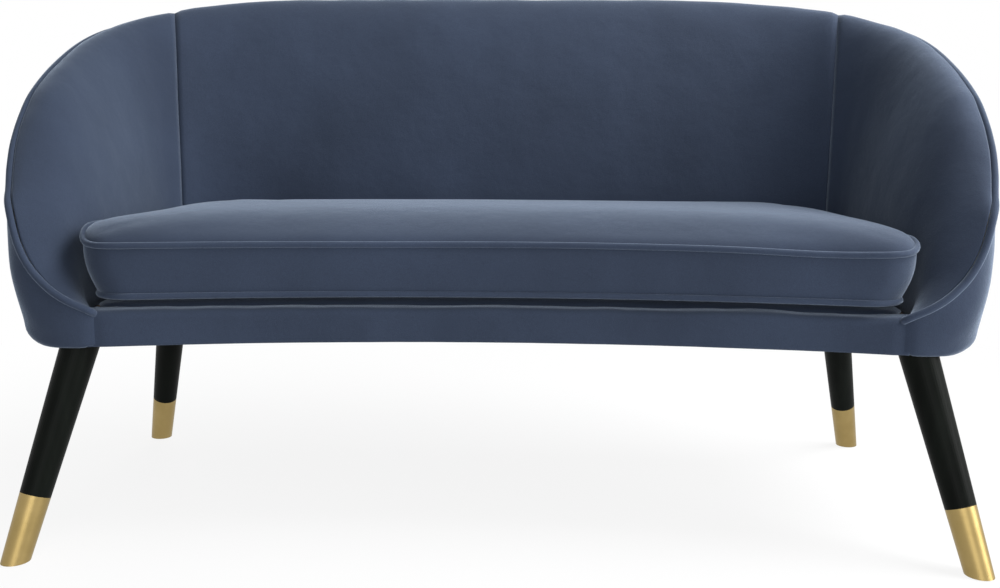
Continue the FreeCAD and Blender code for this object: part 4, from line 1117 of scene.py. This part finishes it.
def build_deck():
    """The cloth-covered deck under the cushion, with a band of the cover velvet along its front."""
    grid = seat_grid(DECK_SIDE_GAP, DECK_SETBACK, SEAT_CORNER_RADIUS, DECK_ACROSS, DECK_DEEP)
    rows, columns = grid.shape[:2]
    band = round(columns * DECK_BAND / (INSIDE_BACK_Y - RAIL_MIDDLE_Y))
    top = np.zeros((rows, columns, 3))
    for r in range(rows):
        for c in range(columns):
            u, v = 2 * r / (rows - 1) - 1, 2 * c / (columns - 1) - 1
            dome = min(1.0, 2.5 * (1 - max(abs(u), abs(v))) ** 0.5)
            x, y = grid[r, c]
            dip = DECK_UNEVENNESS * (1 + rumple((x, y, 0), DECK_RUMPLE_SIZE, 5.0))
            top[r, c] = (x, y, DECK_LOW + (DECK_TOP - DECK_LOW) * dome - dip)
    cloth = add_sheet_piece("deck_cloth", top[:, band:], "deck_felt", SHELL_BODY,
                            ("seat_deck", "spring_cloth"), DECK_CLOTH)
    front = add_sheet_piece("deck_front_band", top[:, :band + 1], "velvet", SHELL_BODY,
                            thickness=DECK_CLOTH)


DUST_Z = 0.2487
DUST_CLOTH = 0.0010
DUST_SAG = 0.0008
DUST_RUMPLE_SIZE = 0.08
DUST_ACROSS = 160
DUST_DEEP = 64
DUST_EDGE_STEPS = 60
DUST_BEND_POINTS = 41
DUST_FRONT_CORNER = (0.455, RAIL_SEAM_Y + 0.022)
DUST_FRONT_BEND = 0.40
DUST_FRONT_GAP = 0.0023
LEG_TOPS = ((0.505, -0.211), (0.505, 0.130))
LEG_HOLE = 0.025


def under_edge(place):
    """Where the turned-under edge of the covers ends, in plan."""
    rib = Rib(place)
    return rib.point(rib.edge_radius, BODY_BOTTOM)[:2]


def build_dust_cover():
    """Thin cloth stretched under the base inside the turned edges, with a hole round each leg."""
    centre_y, sweep = rail_circle()
    bend = [(x, centre_y + math.sqrt((sweep + DUST_FRONT_GAP) ** 2 - x * x))
            for x in np.linspace(-DUST_FRONT_BEND, DUST_FRONT_BEND, DUST_BEND_POINTS)]
    shares = [2 * i / DUST_EDGE_STEPS for i in range(DUST_EDGE_STEPS + 1)]
    right = resample([under_edge(1.0 + share) for share in shares], DUST_DEEP)
    back = resample([under_edge(2 * BACK_MIDDLE - CORNER - share) for share in shares], DUST_ACROSS)
    corner_x, corner_y = DUST_FRONT_CORNER
    start = tuple(right[0])
    front = [(-start[0], start[1]), (-corner_x, corner_y), *bend, (corner_x, corner_y), start]
    plan_grid = filled(resample(front, DUST_ACROSS), back, right * (-1, 1), right)
    rows, columns = plan_grid.shape[:2]
    points = plan_grid.reshape(-1, 2)
    legs = np.array([(side * x, y) for x, y in LEG_TOPS for side in (1, -1)])
    faces, hole_rim = [], set()
    for face in grid_faces(rows, columns):
        away = np.linalg.norm(legs - points[list(face)].mean(0), axis=1)
        if away.min() > LEG_HOLE:
            faces.append(face[::-1])
        else:
            hole_rim.update(face)
    for i in hole_rim:
        leg = legs[np.linalg.norm(legs - points[i], axis=1).argmin()]
        spoke = points[i] - leg
        points[i] = leg + spoke * LEG_HOLE / max(1e-6, np.linalg.norm(spoke))
    used = sorted({i for face in faces for i in face})
    number = {old: new for new, old in enumerate(used)}
    vertices = []
    for i in used:
        u, v = 2 * (i // columns) / (rows - 1) - 1, 2 * (i % columns) / (columns - 1) - 1
        uneven = 1 + 0.5 * rumple((*points[i], 0), DUST_RUMPLE_SIZE, 4.0)
        vertices.append((*points[i], DUST_Z - DUST_SAG * (1 - u ** 4) * (1 - v ** 4) * uneven))
    cloth = add_piece("base_dust_cover", vertices, [[number[i] for i in face] for face in faces],
                      "lining", SHELL_BODY, ("dust_cover",), DUST_CLOTH)


# ---- CAD nodes that keep their shape ----
METAL_NODES = ("leg_plates", "leg_bolts", "plate_screws", "seat_springs", "spring_clips")
OTHER_NODES = {"back_webbing": "webbing", "foot_glides": "nylon"}


def slot_of(name):
    """Material of a CAD node that keeps its shape."""
    if name in METAL_NODES:
        return "steel"
    if name in OTHER_NODES:
        return OTHER_NODES[name]
    if name.startswith("leg_tip"):
        return "brass_tip"
    return "black_wood" if name.startswith("leg_") else "frame_wood"


def finish_nodes():
    """Gives every CAD node that is still shown its procedural material."""
    for name, node in nodes.items():
        if not node.hide_render:
            node.data.materials.clear()
            node.data.materials.append(MATERIALS[slot_of(name)])
            node.data.polygons.foreach_set("use_smooth", [False] * len(node.data.polygons))


add_camera()
add_world()
add_floor()
for light_values in LIGHTS:
    add_area_light(*light_values)
build_inner_covers()
build_outer_covers()
build_rim_piping()
build_rail_cover()
build_cushion()
build_deck()
build_dust_cover()
finish_nodes()

bpy.context.scene.view_settings.view_transform = "Standard"
